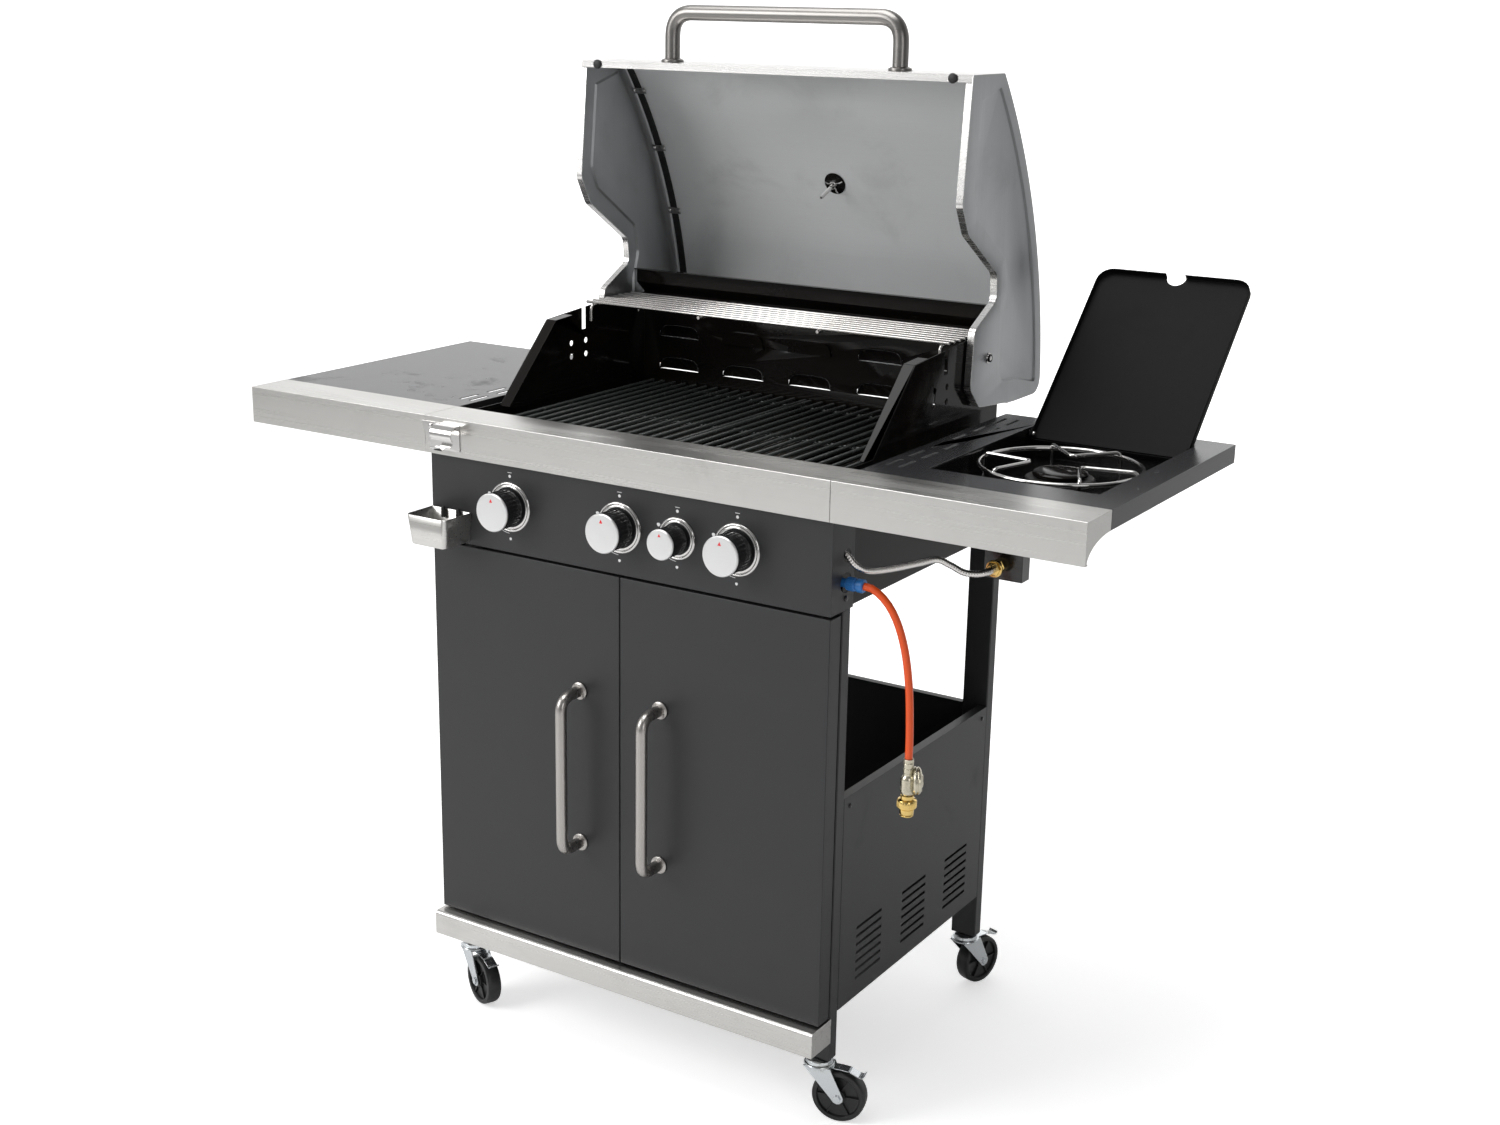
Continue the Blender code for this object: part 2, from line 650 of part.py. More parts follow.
def make_control_panel(grill):
    """Sheet housing: a front face, two cheeks that reach back, and a lip under the front."""
    half = CABINET_HALF - 0.0002
    front, back, low, high = PANEL_FACE_Y, PANEL_FACE_Y + PANEL_SIDE_DEPTH, PANEL_BOTTOM, PANEL_TOP
    face = folded([(half, back), (half, front), (-half, front), (-half, back)][::-1], SHEET)
    panel = prism(face, "z", low, high)
    lip = box((-half + SHEET / 2, front + SHEET / 2, low), (half - SHEET / 2, front + 0.018, low + SHEET))
    panel = united(panel, lip)
    for sign in (-1, 1):
        x0, x1 = sorted((sign * (half - POST_WIDTH), sign * (half - SHEET / 2)))
        seat = box((x0, front + 0.017, low), (x1, back, low + SHEET))
        panel = united(panel, seat)
    holes = [rod((x, front - 0.01, KNOB_Z), (x, front + 0.01, KNOB_Z), STEM_RADIUS + 0.003, 12)
             for _, x, _ in knob_places()]
    for y, z, radius in ((0.049, PIPE_HIGH - 0.0175, 0.009), (0.047, HOSE_Z + 0.0005, 0.0135)):
        holes.append(rod((half - 0.01, y, z), (half + 0.01, y, z), radius, 20))
    piece("control_panel", cut(panel, holes), "powder_coat", grill)


def make_knobs(grill):
    for name, x, radius in knob_places():
        back, face = PANEL_FACE_Y - 0.004, KNOB_FACE_Y
        depth = back - face
        profile = [(0, 0), (radius - 0.0045, 0), (radius - 0.0015, depth * 0.35), (radius, depth - 0.003),
                   (radius - 0.0012, depth), (0, depth)]
        body = turned(profile, (x, back, KNOB_Z), (0, -1, 0), 24)
        socket = rod((x, back + 0.01, KNOB_Z), (x, face + 0.008, KNOB_Z), STEM_RADIUS + 0.0003, 10)
        piece(f"knob_{name}", cut(body, [socket]), "knob_plastic", grill, (x, back, KNOB_Z), smooth=True)


def make_gas_train(grill):
    """Manifold with its valves, three burners, the heat shields over them and the side burner's pipe."""
    rail_y, valve_back = 0.052, 0.062
    rail = rod((-0.240, rail_y, KNOB_Z), (0.222, rail_y, KNOB_Z), 0.0085, 10)
    shapes = []
    for name, x, _ in knob_places():
        valve = rod((x, PANEL_FACE_Y + 0.006, KNOB_Z), (x, valve_back, KNOB_Z), 0.0105, 12)
        stem = rod((x, KNOB_FACE_Y + 0.011, KNOB_Z), (x, PANEL_FACE_Y + 0.010, KNOB_Z), STEM_RADIUS, 10)
        shapes += [valve, stem]
    piece("gas_manifold", united(rail, *shapes), "raw_zinc", grill, smooth=True)

    burner_front, burner_z = valve_back + GAP, KNOB_Z
    for name, x, _ in knob_places():
        if name == "side":
            continue
        radius = BURNER_RADIUS
        length = BURNER_BACK - burner_front
        profile = [(0, 0), (0.0095, 0), (0.0095, 0.030), (radius, 0.045), (radius, length), (0, length)]
        body = turned(profile, (x, burner_front, burner_z), (0, 1, 0), 16)
        piece(f"burner_{name}", body, "polished_steel", grill, smooth=True)
        peak, wing, edge = LEDGE_LOW + 0.027, LEDGE_LOW + PLATE + GAP, 0.062
        foot = 0.006
        roof = folded([(x - edge, wing), (x - edge + foot, wing), (x, peak), (x + edge - foot, wing),
                       (x + edge, wing)], SHEET)
        piece(f"flame_tamer_{name}", prism(roof, "y", FIREBOX_FRONT + 0.004, 0.492), "iron", grill)

    side_x = knob_places()[2][1]
    over = PIPE_HIGH
    valve_y, valve_top = 0.040, KNOB_Z + 0.0105 + 3 * GAP
    route = [(side_x, valve_y, valve_top), (side_x, valve_y, valve_top + 0.004),
             (side_x + 0.004, valve_y, over - 0.003), (side_x + 0.014, valve_y + 0.002, over),
             (0.160, 0.050, over), (0.240, 0.053, over), (0.285, 0.052, over - 0.0065),
             (0.309, 0.0495, over - 0.013), (0.3235, 0.0490, over - 0.0175), (0.334, 0.052, over - 0.029),
             (0.346, 0.063, over - 0.0375), (0.366, 0.083, over - 0.0365), (0.392, 0.108, over - 0.0305),
             (0.410, 0.126, over - 0.0265), (0.424, 0.136, over - 0.0335), (0.440, 0.144, FITTING_Z),
             (0.455, 0.152, FITTING_Z - 0.0015), (FITTING_X - 0.0015, 0.160, FITTING_Z),
             (FITTING_X, 0.166, FITTING_Z), (FITTING_X, 0.1765, FITTING_Z)]
    hose_curve("gas_pipe", smooth_route(route, 0.012), 0.009, "polished_steel", grill, 2)
    nut_front, nut_back = 0.1768, BRACKET_Y - GAP
    hexagon = rod((FITTING_X, nut_front, FITTING_Z), (FITTING_X, nut_back, FITTING_Z), 0.0095, 6)
    collar = rod((FITTING_X, nut_front + 0.003, FITTING_Z),
                 (FITTING_X, nut_front + 0.007, FITTING_Z), 0.0115, 18)
    piece("pipe_fitting", united(hexagon, collar), "brass", grill)


def make_hose(grill):
    """Bottle hose: the blue coupling in the panel's cheek, the rubber hose, regulator and bottle nut."""
    y, z, start = 0.047, HOSE_Z, CABINET_HALF + 0.0022
    out = 0.024
    profile = [(0, 0), (0.0082, 0), (0.0082, 0.014), (0.0072, 0.0145), (0.0072, 0.0175), (0.0088, 0.018),
               (0.0088, out), (0, out)]
    neck = rod((CABINET_HALF - 0.020, y, z), (start + 0.002, y, z), 0.0060, 16)
    coupling = united(turned(profile, (start, y, z), (1, 0, 0), 16), neck)
    piece("hose_connector", coupling, "blue_plastic", grill, smooth=True)
    x0 = start + out + GAP
    crimp_top = z - 0.2135
    route = [(x0, y, z), (x0 + 0.009, y, z - 0.0003), (x0 + 0.020, y, z - 0.0055),
             (x0 + 0.032, y, z - 0.0150),
             (x0 + 0.0425, y, z - 0.0285), (x0 + 0.0510, y, z - 0.0450), (x0 + 0.0575, y, z - 0.0635),
             (x0 + 0.0625, y, z - 0.0835), (x0 + 0.0660, y, z - 0.1040), (x0 + 0.0685, y, z - 0.1250),
             (x0 + 0.0700, y, z - 0.1460), (x0 + 0.0710, y, z - 0.1660), (x0 + 0.0716, y, z - 0.1850),
             (x0 + 0.0718, y, z - 0.2000), (x0 + 0.0718, y, crimp_top + GAP)]
    hose_curve("gas_hose", smooth_route(route, HOSE_SPACING), HOSE_DIAMETER, "orange_rubber", grill, 3)
    x = route[-1][0]
    foot = crimp_top - 0.049
    stem = turned([(0, 0), (0.0075, 0), (0.0095, 0.005), (0.0095, 0.022), (0.0066, 0.027),
                   (0.0066, crimp_top - foot), (0, crimp_top - foot)], (x, y, foot), (0, 0, 1), 14)
    aim = Vector((0.84, 0.54, 0))
    dome = turned([(0, 0), (0.006, 0), (0.006, 0.005), (0.018, 0.007), (0.0185, 0.013), (0.015, 0.017),
                   (0.008, 0.019), (0, 0.019)], Vector((x, y, foot + 0.019)), aim, 18)
    piece("regulator", united(stem, dome), "raw_zinc", grill, smooth=True)
    nut_length, bore_depth = 0.0285, 0.012
    nut = turned([(0, 0), (0.0085, 0), (0.0095, 0.004), (0.0095, 0.010), (0.0125, 0.012), (0.0125, 0.022),
                  (0.0085, 0.0245), (0.0085, nut_length), (0, nut_length)],
                 (x, y, foot - nut_length - GAP), (0, 0, 1), 14)
    bore = rod((x, y, foot - nut_length - CUT_REACH), (x, y, foot - nut_length + bore_depth), 0.0050, 12)
    piece("regulator_nut", cut(nut, [bore]), "brass", grill, smooth=True)


# ---------------------------------------------------------------- firebox
def make_firebox(grill):
    """Enamelled sheet box with raked cheeks, louvred back, grate ledges and a sloping floor."""
    half, t = FIREBOX_HALF, PLATE
    front, back, low, top = FIREBOX_FRONT, FIREBOX_BACK, FIREBOX_BOTTOM, FIREBOX_TOP
    sill = WORKTOP_HEIGHT - 0.0035
    rake_foot, rake_head, shoulder = 0.143, 0.250, CHEEK_SHOULDER
    inner_back = back - 0.011
    cheek = [(front, low), (back, low), (back, top), (0.400, top), (rake_head, shoulder), (rake_foot, sill),
             (front, sill)]
    flange = folded([(0.290, shoulder + 0.0028), (rake_head, shoulder), (rake_foot - 0.004, sill - 0.004)], t)
    shapes = []
    for sign in (-1, 1):
        x_out, x_in = sign * half, sign * (half - t)
        shapes.append(prism(cheek, "x", min(x_out, x_in), max(x_out, x_in)))
        x_lip = sign * (half - CHEEK_LIP)
        shapes.append(prism(flange, "x", min(x_out, x_lip), max(x_out, x_lip)))
        drain = sign * 0.120
        slope = folded([(sign * (half - t / 2), low + 0.012), (drain, low + 0.002), (drain, low - 0.006)], t)
        shapes.append(prism(slope, "y", front + t / 2, inner_back + t / 2))
        rail_in, rail_out = sign * (TRAY_HALF + 0.0015), sign * (TRAY_HALF + 0.0015 + t)
        shapes.append(box((min(rail_in, rail_out), RAIL_FRONT, RAIL_LOW),
                          (max(rail_in, rail_out), RAIL_BACK, low + 0.006)))
        foot = sign * (TRAY_HALF - 0.0085)
        shapes.append(box((min(foot, rail_out), RAIL_FRONT, RAIL_LOW),
                          (max(foot, rail_out), RAIL_BACK, RAIL_LOW + t)))
    shapes.append(box((-half + t / 2, front, low), (half - t / 2, front + t, sill)))
    shield = [(0.470, top + 0.038), (0.478, top + 0.038), (0.478, top + 0.018), (inner_back, top + 0.002),
              (inner_back, low)]
    shapes.append(prism(folded(shield, t), "x", -half + t / 2, half - t / 2))
    ledge = GRATE_TOP - GRATE_ROD - 0.004 - GAP
    for z in (ledge - t, LEDGE_LOW):
        shapes.append(box((-half + t / 2, front + t / 2, z), (half - t / 2, front + 0.014, z + t)))
        shapes.append(box((-half + t / 2, inner_back - 0.012, z), (half - t / 2, inner_back + t / 2, z + t)))
    rest_back = BURNER_BACK - 0.024
    shapes.append(box((-half + t / 2, rest_back - 0.006, KNOB_Z - 0.0165),
                      (half - t / 2, rest_back, KNOB_Z - BURNER_RADIUS - GAP)))
    for sign in (-1, 1):
        inner, outer = sign * (half - t / 2), sign * (LID_HALF + 0.0012)
        bolt = rod((inner, LID_HINGE_Y, LID_HINGE_Z), (outer, LID_HINGE_Y, LID_HINGE_Z),
                   HINGE_BOLT_RADIUS, 12)
        head = rod((sign * (LID_HALF + 0.0004), LID_HINGE_Y, LID_HINGE_Z),
                   (sign * (LID_HALF + 0.0040), LID_HINGE_Y, LID_HINGE_Z), 0.0058, 12)
        shapes += [bolt, head]
    firebox = united(*shapes)
    cuts = []
    louvre_width, louvre_pitch, louvre_height = 0.0735, 0.1185, 0.008
    for z in (top - 0.113, top - 0.062):
        for k in range(-2, 3):
            x = k * louvre_pitch
            cuts.append(box((x - louvre_width / 2, inner_back - 0.01, z - louvre_height / 2),
                            (x + louvre_width / 2, inner_back + 0.008, z + louvre_height / 2)))
    notch_y, notch_half, notch_low = 0.340, 0.005, top - 0.038
    for sign in (-1, 1):
        x0, x1 = sorted((sign * (half - 0.006), sign * (half + 0.006)))
        cuts.append(box((x0, notch_y - notch_half, notch_low), (x1, notch_y + notch_half, top + 0.01)))
        for y in (0.309, 0.345):
            for z in (top - 0.076, top - 0.0555):
                cuts.append(rod((x0, y, z), (x1, y, z), 0.0044, 8))
    for name, x, _ in knob_places():
        if name != "side":
            cuts.append(rod((x, front - 0.01, KNOB_Z), (x, front + 0.01, KNOB_Z), 0.0115, 16))
    piece("firebox", cut(firebox, cuts), "enamel", grill)

    tray_low, tray_top, tray_front, tray_back = RAIL_LOW + t + GAP, RAIL_LOW + 0.024, 0.160, 0.486
    pull_half, pull_low, pull_back = 0.050, tray_top - 0.012, 0.500
    tray = box((-TRAY_HALF, tray_front, tray_low), (TRAY_HALF, tray_back, tray_top))
    hollow = box((-TRAY_HALF + SHEET, tray_front + SHEET, tray_low + SHEET),
                 (TRAY_HALF - SHEET, tray_back - SHEET, tray_top + SHEET))
    pull = box((-pull_half, tray_back - SHEET / 2, pull_low), (pull_half, pull_back, pull_low + PLATE))
    piece("grease_tray", united(cut(tray, [hollow]), pull), "raw_zinc", grill)


def make_grates(grill):
    """Two cooking grates: round bars front to back, welded on three cross bars."""
    front, back = FIREBOX_FRONT + PLATE + 0.002, FIREBOX_BACK - 0.011 - 0.002
    top = GRATE_TOP
    edge, middle = FIREBOX_HALF - CHEEK_LIP - 0.001, 0.0015
    count = int((edge - middle - GRATE_ROD) / GRATE_PITCH) + 1
    step = (edge - middle - GRATE_ROD) / (count - 1)
    bars = []
    for i in range(count):
        x = middle + GRATE_ROD / 2 + i * step
        bars.append(rod((x, front, top - GRATE_ROD / 2), (x, back, top - GRATE_ROD / 2), GRATE_ROD / 2, 6))
    cross = []
    for y in (0.108, 0.275, 0.470):
        low = top - GRATE_ROD - 0.004
        cross.append(box((middle + 0.0005, y - 0.0025, low), (edge - 0.0005, y + 0.0025, low + 0.0055)))
    grate = boolean(gathered(bars), gathered(cross), "UNION")
    piece("cooking_grate_left", mirrored(grate), "iron", grill)
    piece("cooking_grate_right", grate, "iron", grill)


def make_warming_rack(grill):
    """Eight long wires on two end wires, whose legs hang inside the cheeks."""
    wire = 0.00225
    z = FIREBOX_TOP + wire + GAP
    reach = FIREBOX_HALF - 0.0005
    front, back = 0.348, 0.462
    wires = [rod((-reach, y, z), (reach, y, z), wire, 6)
             for y in (front + (back - front) * k / 7 for k in range(8))]
    ends = []
    for sign in (-1, 1):
        x = sign * (reach - 0.012)
        under = z - wire * 1.2
        path = [(x, front - 0.004, under - 0.026), (x, front - 0.004, under), (x, back + 0.004, under),
                (x, back + 0.004, under - 0.026)]
        ends.append(tube(round_corners(path, 0.006, 3), wire, 6))
    piece("warming_rack", boolean(gathered(wires), gathered(ends), "UNION"), "polished_steel", grill)


# ---------------------------------------------------------------- lid
def make_lid(grill):
    """Hood, two side plates, handle and thermometer, drawn shut round the hinge and then swung open."""
    hinge = empty("lid_hinge", (0, LID_HINGE_Y, LID_HINGE_Z), grill, (-LID_OPEN_ANGLE, 0, 0))
    face, lip_z, brow_z = -0.384, -0.088, 0.008
    crown_y, crown_z = 0.050, 0.180
    chord = math.hypot(crown_y - face, crown_z - brow_z)
    tilt = math.atan2(crown_z - brow_z, crown_y - face)
    bow = math.radians(18.0)
    radius = chord / (2 * math.sin(bow))
    mid_y, mid_z = (face + crown_y) / 2, (brow_z + crown_z) / 2
    reach = radius * math.cos(bow)
    centre = (mid_y + reach * math.sin(tilt), mid_z - reach * math.cos(tilt))
    start = math.degrees(math.atan2(brow_z - centre[1], face - centre[0]))
    end = math.degrees(math.atan2(crown_z - centre[1], crown_y - centre[0]))
    brow = arc(centre, radius, start, end, 14)
    nape_y, nape_low = 0.076, 0.072
    shoulder = arc((nape_y - 0.022, crown_z - 0.022), 0.022, 88, 0, 4)
    outer = [(face, lip_z), *brow, *shoulder, (nape_y, nape_low)]
    half = LID_HALF - SHEET - GAP
    lip = 0.010
    sheet = folded([(face + lip, lip_z), *outer][::-1], SHEET)
    hood = prism(sheet, "x", -half, half)
    gauge_y = -0.190
    spot = min(brow, key=lambda p: abs(p[0] - gauge_y))
    normal = Vector((0, spot[0] - centre[0], spot[1] - centre[1])).normalized()
    gauge = Vector((0, *spot))
    hood = cut(hood, [rod(gauge - normal * 0.02, gauge + normal * 0.02, 0.017, 24)])
    piece("lid_hood", hood, "lid_steel", hinge, smooth=True)

    foot = [(face, lip_z), (-0.216, -0.103), (-0.176, -0.081), (-0.115, 0.014), (-0.078, 0.018),
            (-0.044, -0.047), (0.037, -0.053), (0.066, -0.023)]
    eased = [(p[0], p[1]) for p in round_corners([(*p, 0.0) for p in foot], 0.016, 3)]
    outline = eased + [(nape_y, 0.090)] + shoulder[::-1] + brow[::-1]
    plate = prism(outline, "x", LID_HALF - SHEET, LID_HALF)
    run = Vector(eased[1]) - Vector(eased[0])
    rim = [tuple(Vector(eased[0]) + run.normalized() * (lip + 4 * GAP)), *eased[1:]]
    flange = prism(folded(rim, SHEET), "x", LID_HALF - LID_FLANGE, LID_HALF - SHEET / 2)
    side = united(plate, flange)
    side = cut(side, [rod((LID_HALF - 0.02, 0, 0), (LID_HALF + 0.02, 0, 0), HINGE_BOLT_RADIUS + 0.0003, 12)])
    piece("lid_side_left", mirrored(side), "lid_steel", hinge, smooth=True)
    piece("lid_side_right", side, "lid_steel", hinge, smooth=True)

    foot_x, foot_z, tube_radius, reach = 0.186, -0.044, 0.011, 0.069
    start_y = face - GAP
    path = round_corners([(-foot_x, start_y, foot_z), (-foot_x, start_y - reach, foot_z),
                          (foot_x, start_y - reach, foot_z), (foot_x, start_y, foot_z)], 0.042, 6)
    handle = tube(path, tube_radius, 12)
    flanges = [rod((s * foot_x, start_y, foot_z), (s * foot_x, start_y - 0.004, foot_z), 0.0165, 24)
               for s in (-1, 1)]
    piece("lid_handle", united(handle, gathered(flanges)), "polished_steel", hinge, smooth=True)

    dial = turned([(0, 0), (0.0265, 0), (0.0275, 0.003), (0.0275, 0.010), (0.0255, 0.012), (0, 0.012)],
                  gauge + normal * (2 * GAP), normal, 24)
    boss = rod(gauge + normal * 0.002, gauge - normal * 0.008, 0.012, 20)
    probe = rod(gauge, gauge - normal * 0.045, 0.0028, 10)
    piece("thermometer", united(dial, boss, probe), "polished_steel", hinge, smooth=True)


# ---------------------------------------------------------------- small fittings
def make_fittings(grill):
    """Cap catcher and bottle opener at the left end of the control panel."""
    left, right, front, back = -0.3244, -0.2538, -0.0465, PANEL_FACE_Y - GAP
    low, high, taper, radius = PANEL_BOTTOM + 0.003, PANEL_BOTTOM + 0.046, 0.004, 0.007

    def ring(z, inset):
        shrink = taper * (high - z) / (high - low)
        x0, x1 = left + inset + shrink, right - inset - shrink
        y0, y1 = front + inset + shrink, back - inset
        r = radius - inset * 0.9
        flat = (arc((x0 + r, y0 + r), r, 180, 270, 3) + arc((x1 - r, y0 + r), r, 270, 360, 3)
                + [(x1, y1), (x0, y1)])
        return [(x, y, z) for x, y in flat]

    def loft(rings):
        bm = bmesh.new()
        made = [[bm.verts.new(p) for p in points] for points in rings]
        bm.faces.new(made[0])
        bm.faces.new(made[-1])
        for near, far in zip(made, made[1:]):
            for i in range(len(near)):
                j = (i + 1) % len(near)
                bm.faces.new((near[i], near[j], far[j], far[i]))
        return as_mesh(bm)

    inside = loft([ring(low + SHEET, SHEET), ring(high + 0.002, SHEET)])
    cup = cut(loft([ring(low, 0), ring(high, 0)]), [inside])
    piece("cap_catcher", cup, "brushed_steel", grill, smooth=True)

    top, low = WORKTOP_HEIGHT - 0.008, WORKTOP_HEIGHT - 0.045
    right = -0.262
    back_plate = prism([(right, low), (right, top), (right - 0.068, top), (right - 0.050, low)], "y",
                       -GAP - SHEET, -GAP)
    hood_path = [(-GAP - SHEET / 2, top - 0.0004), *arc((-0.011, top - 0.011), (0.013, 0.012), 80, 225, 6)]
    hood = prism(folded(hood_path, SHEET), "x", right - 0.034, right + 0.003)
    tongue_path = [(-GAP - 0.9 * SHEET, low + 0.004), (-0.009, low + 0.001), (-0.015, low + 0.006)]
    tongue = prism(folded(tongue_path, SHEET), "x", right - 0.042, right - 0.024)
    piece("bottle_opener", united(back_plate, hood, tongue), "polished_steel", grill)


# ---------------------------------------------------------------- castors
def make_castor(grill, name, x, y, heading):
    """Zinc fork on a raceway that swivels under its post, and a wheel on an axle through the fork."""
    swivel = empty(f"castor_{name}_swivel", (x, y, 0), grill, (0, 0, math.radians(heading)))
    dome_top = POST_FOOT - GAP
    crown = turned([(0, 0.0785), (0.0205, 0.0785), (0.0215, 0.0805), (0.0205, 0.0825), (0.0185, 0.0830),
                    (0.0180, 0.0875), (0.0145, 0.0895), (0.0080, dome_top), (0, dome_top)],
                   (0, 0, 0), (0, 0, 1), 20)
    axle_z = WHEEL_RADIUS
    leg_in, leg_out = WHEEL_WIDTH / 2 + 0.0022, WHEEL_WIDTH / 2 + 0.0042
    toe = arc((CASTOR_TRAIL, axle_z), 0.0085, 200, 370, 5)
    leg = [(-0.019, 0.080), *toe, (0.019, 0.080)]
    shapes = [crown]
    for sign in (-1, 1):
        shapes.append(prism(leg, "y", *sorted((sign * leg_in, sign * leg_out))))
        nut = rod((CASTOR_TRAIL, sign * (leg_out - 0.001), axle_z),
                  (CASTOR_TRAIL, sign * (leg_out + 0.0025), axle_z), 0.0055, 6)
        shapes.append(nut)
    shapes.append(rod((CASTOR_TRAIL, -leg_out, axle_z), (CASTOR_TRAIL, leg_out, axle_z), AXLE_RADIUS, 10))
    piece(f"castor_fork_{name}", united(*shapes), "zinc", swivel, smooth=True)
    half, hub, bore = WHEEL_WIDTH / 2, 0.010, AXLE_RADIUS + 0.0004
    outer, rim = WHEEL_RADIUS, WHEEL_RADIUS - 0.007
    side = [(bore, half + 0.001), (hub, half + 0.001), (hub + 0.001, half - 0.005),
            (rim - 0.001, half - 0.005),
            (rim, half), (outer - 0.003, half), (outer, half - 0.004)]
    profile = side + [(r, -h) for r, h in side[::-1]]
    wheel = turned(profile, (CASTOR_TRAIL, 0, axle_z), (0, 1, 0), 24)
    piece(f"castor_wheel_{name}", wheel, "wheel_plastic", swivel, (CASTOR_TRAIL, 0, axle_z), smooth=True)


def make_castors(grill):
    places = (("front_left", -1, FRONT_POST_Y, -23.7), ("front_right", 1, FRONT_POST_Y, 14.4),
              ("rear_left", -1, REAR_POST_Y, 118.0), ("rear_right", 1, REAR_POST_Y, 73.4))
    for name, sign, y, heading in places:
        make_castor(grill, name, sign * POST_X, y, heading)


# ---------------------------------------------------------------- build
def main():
    clear_scene()
    grill = empty("grill", (0, FRONT_SHIFT, 0))
    make_posts(grill)
    make_side_panels(grill)
    make_rear_panel(grill)
    make_base(grill)
    make_door(grill, "left", -1)
    make_door(grill, "right", 1)
    make_trims(grill)
    make_shelves(grill)
    make_side_burner(grill)
    make_side_lid(grill)
    make_control_panel(grill)
    make_knobs(grill)
    make_gas_train(grill)
    make_hose(grill)
    make_firebox(grill)
    make_grates(grill)
    make_warming_rack(grill)
    make_lid(grill)
    make_fittings(grill)
    make_castors(grill)


main()
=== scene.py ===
# %% [markdown]
# # A gas barbecue grill, dressed for its picture
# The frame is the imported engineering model: every sheet, tube and hinge is already at its real place.
# This lesson gives those pieces rounded folds, real finishes, and the small parts that a plain model lacks.

# %% Load the frame
import bpy
import bmesh
import math
from mathutils import Matrix, Vector


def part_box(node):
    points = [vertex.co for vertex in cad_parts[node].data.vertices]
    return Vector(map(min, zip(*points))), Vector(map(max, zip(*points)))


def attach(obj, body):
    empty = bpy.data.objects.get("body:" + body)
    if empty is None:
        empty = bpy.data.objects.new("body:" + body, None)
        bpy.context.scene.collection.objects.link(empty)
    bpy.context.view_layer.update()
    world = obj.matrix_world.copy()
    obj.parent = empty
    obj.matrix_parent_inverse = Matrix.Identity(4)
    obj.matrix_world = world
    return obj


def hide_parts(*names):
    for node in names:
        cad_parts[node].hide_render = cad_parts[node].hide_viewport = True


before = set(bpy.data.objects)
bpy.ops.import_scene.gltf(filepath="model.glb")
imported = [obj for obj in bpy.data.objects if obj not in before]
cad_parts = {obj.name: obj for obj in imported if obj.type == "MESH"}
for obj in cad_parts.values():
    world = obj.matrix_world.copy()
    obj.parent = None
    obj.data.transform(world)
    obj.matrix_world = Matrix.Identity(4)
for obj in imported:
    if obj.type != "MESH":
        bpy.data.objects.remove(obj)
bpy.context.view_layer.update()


def new_object(name, data):
    """An object in the scene's own collection."""
    made = bpy.data.objects.new(name, data)
    bpy.context.scene.collection.objects.link(made)
    return made


def new_mesh(name, bm):
    """The mesh in progress as a finished mesh. It can't be worked on after this."""
    made = bpy.data.meshes.new(name)
    bm.to_mesh(made)
    bm.free()
    return made


def worked_out(holder):
    """The mesh that an object shows once its modifiers have run."""
    return bpy.data.meshes.new_from_object(holder.evaluated_get(bpy.context.evaluated_depsgraph_get()))


# %% [markdown]
# ## Places that many pieces share
# Sizes come from the frame's own pieces, so a new part lands where the sheet metal really is.

# %% Shared places
front_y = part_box("center_trim")[0].y
panel_low, panel_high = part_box("control_panel")
panel_y = panel_low.y
hinge_y, hinge_z = front_y + 0.444, 0.993
knob_z = 0.794
knobs = {"knob_1": (-0.1845, 0.0268), "knob_2": (0.0, 0.0268), "knob_3": (0.1845, 0.0268),
         "knob_side": (0.09225, 0.0205)}
burner_x, burner_y = 0.50475, front_y + 0.279
print("worktop edge at", round(front_y, 4), "control panel face at", round(panel_y, 4))

# %% [markdown]
# ## The camera
# A long lens from chest height, a little to the right, which is how a shop shows a grill of this kind.
# The small shift moves the picture a little sideways in the frame.

# %% Camera
eye = bpy.data.cameras.new("eye")
eye.lens = 47.65
eye.sensor_width = 36
eye.shift_x = 0.0164
eye.shift_y = -0.0005
camera = new_object("camera", eye)
turn = [(32.711, "Z"), (73.880, "X"), (0.839, "Z")]
aim = Matrix.Identity(4)
for angle, axis in turn:
    aim = aim @ Matrix.Rotation(math.radians(angle), 4, axis)
camera.matrix_world = Matrix.Translation((1.487, front_y - 2.044, 1.481)) @ aim
bpy.context.scene.camera = camera
print("camera", [round(v, 3) for v in camera.location])

# %% [markdown]
# ## Helpers for shapes
# Each helper adds one closed shape to a mesh in progress and marks its faces with a material number.
# A piece made of several shapes is then one object with several finishes, as a real part is.

# %% Shape helpers
def face_up(bm, corners, number):
    made = bm.faces.new(corners)
    made.material_index = number
    return made


def add_turned(bm, profile, base, direction, sides=48, number=0):
    """A lathe shape: (radius, height) points from one end on the axis to the other."""
    turned = Vector((0, 0, 1)).rotation_difference(Vector(direction).normalized()).to_matrix()
    rings, base = [], Vector(base)
    for radius, height in profile:
        if radius == 0:
            rings.append([bm.verts.new(base + turned @ Vector((0, 0, height)))])
        else:
            spots = [(math.tau * i / sides) for i in range(sides)]
            rings.append([bm.verts.new(base + turned @ Vector((radius * math.cos(a), radius * math.sin(a),
                                                               height)))
                          for a in spots])
    pairs = list(zip(rings, rings[1:]))
    if profile[0][0] > 0:
        pairs.append((rings[-1], rings[0]))
    for near, far in pairs:
        for i in range(sides):
            j = (i + 1) % sides
            corners = [near[i % len(near)], near[j % len(near)], far[j % len(far)], far[i % len(far)]]
            face_up(bm, list(dict.fromkeys(corners)), number)


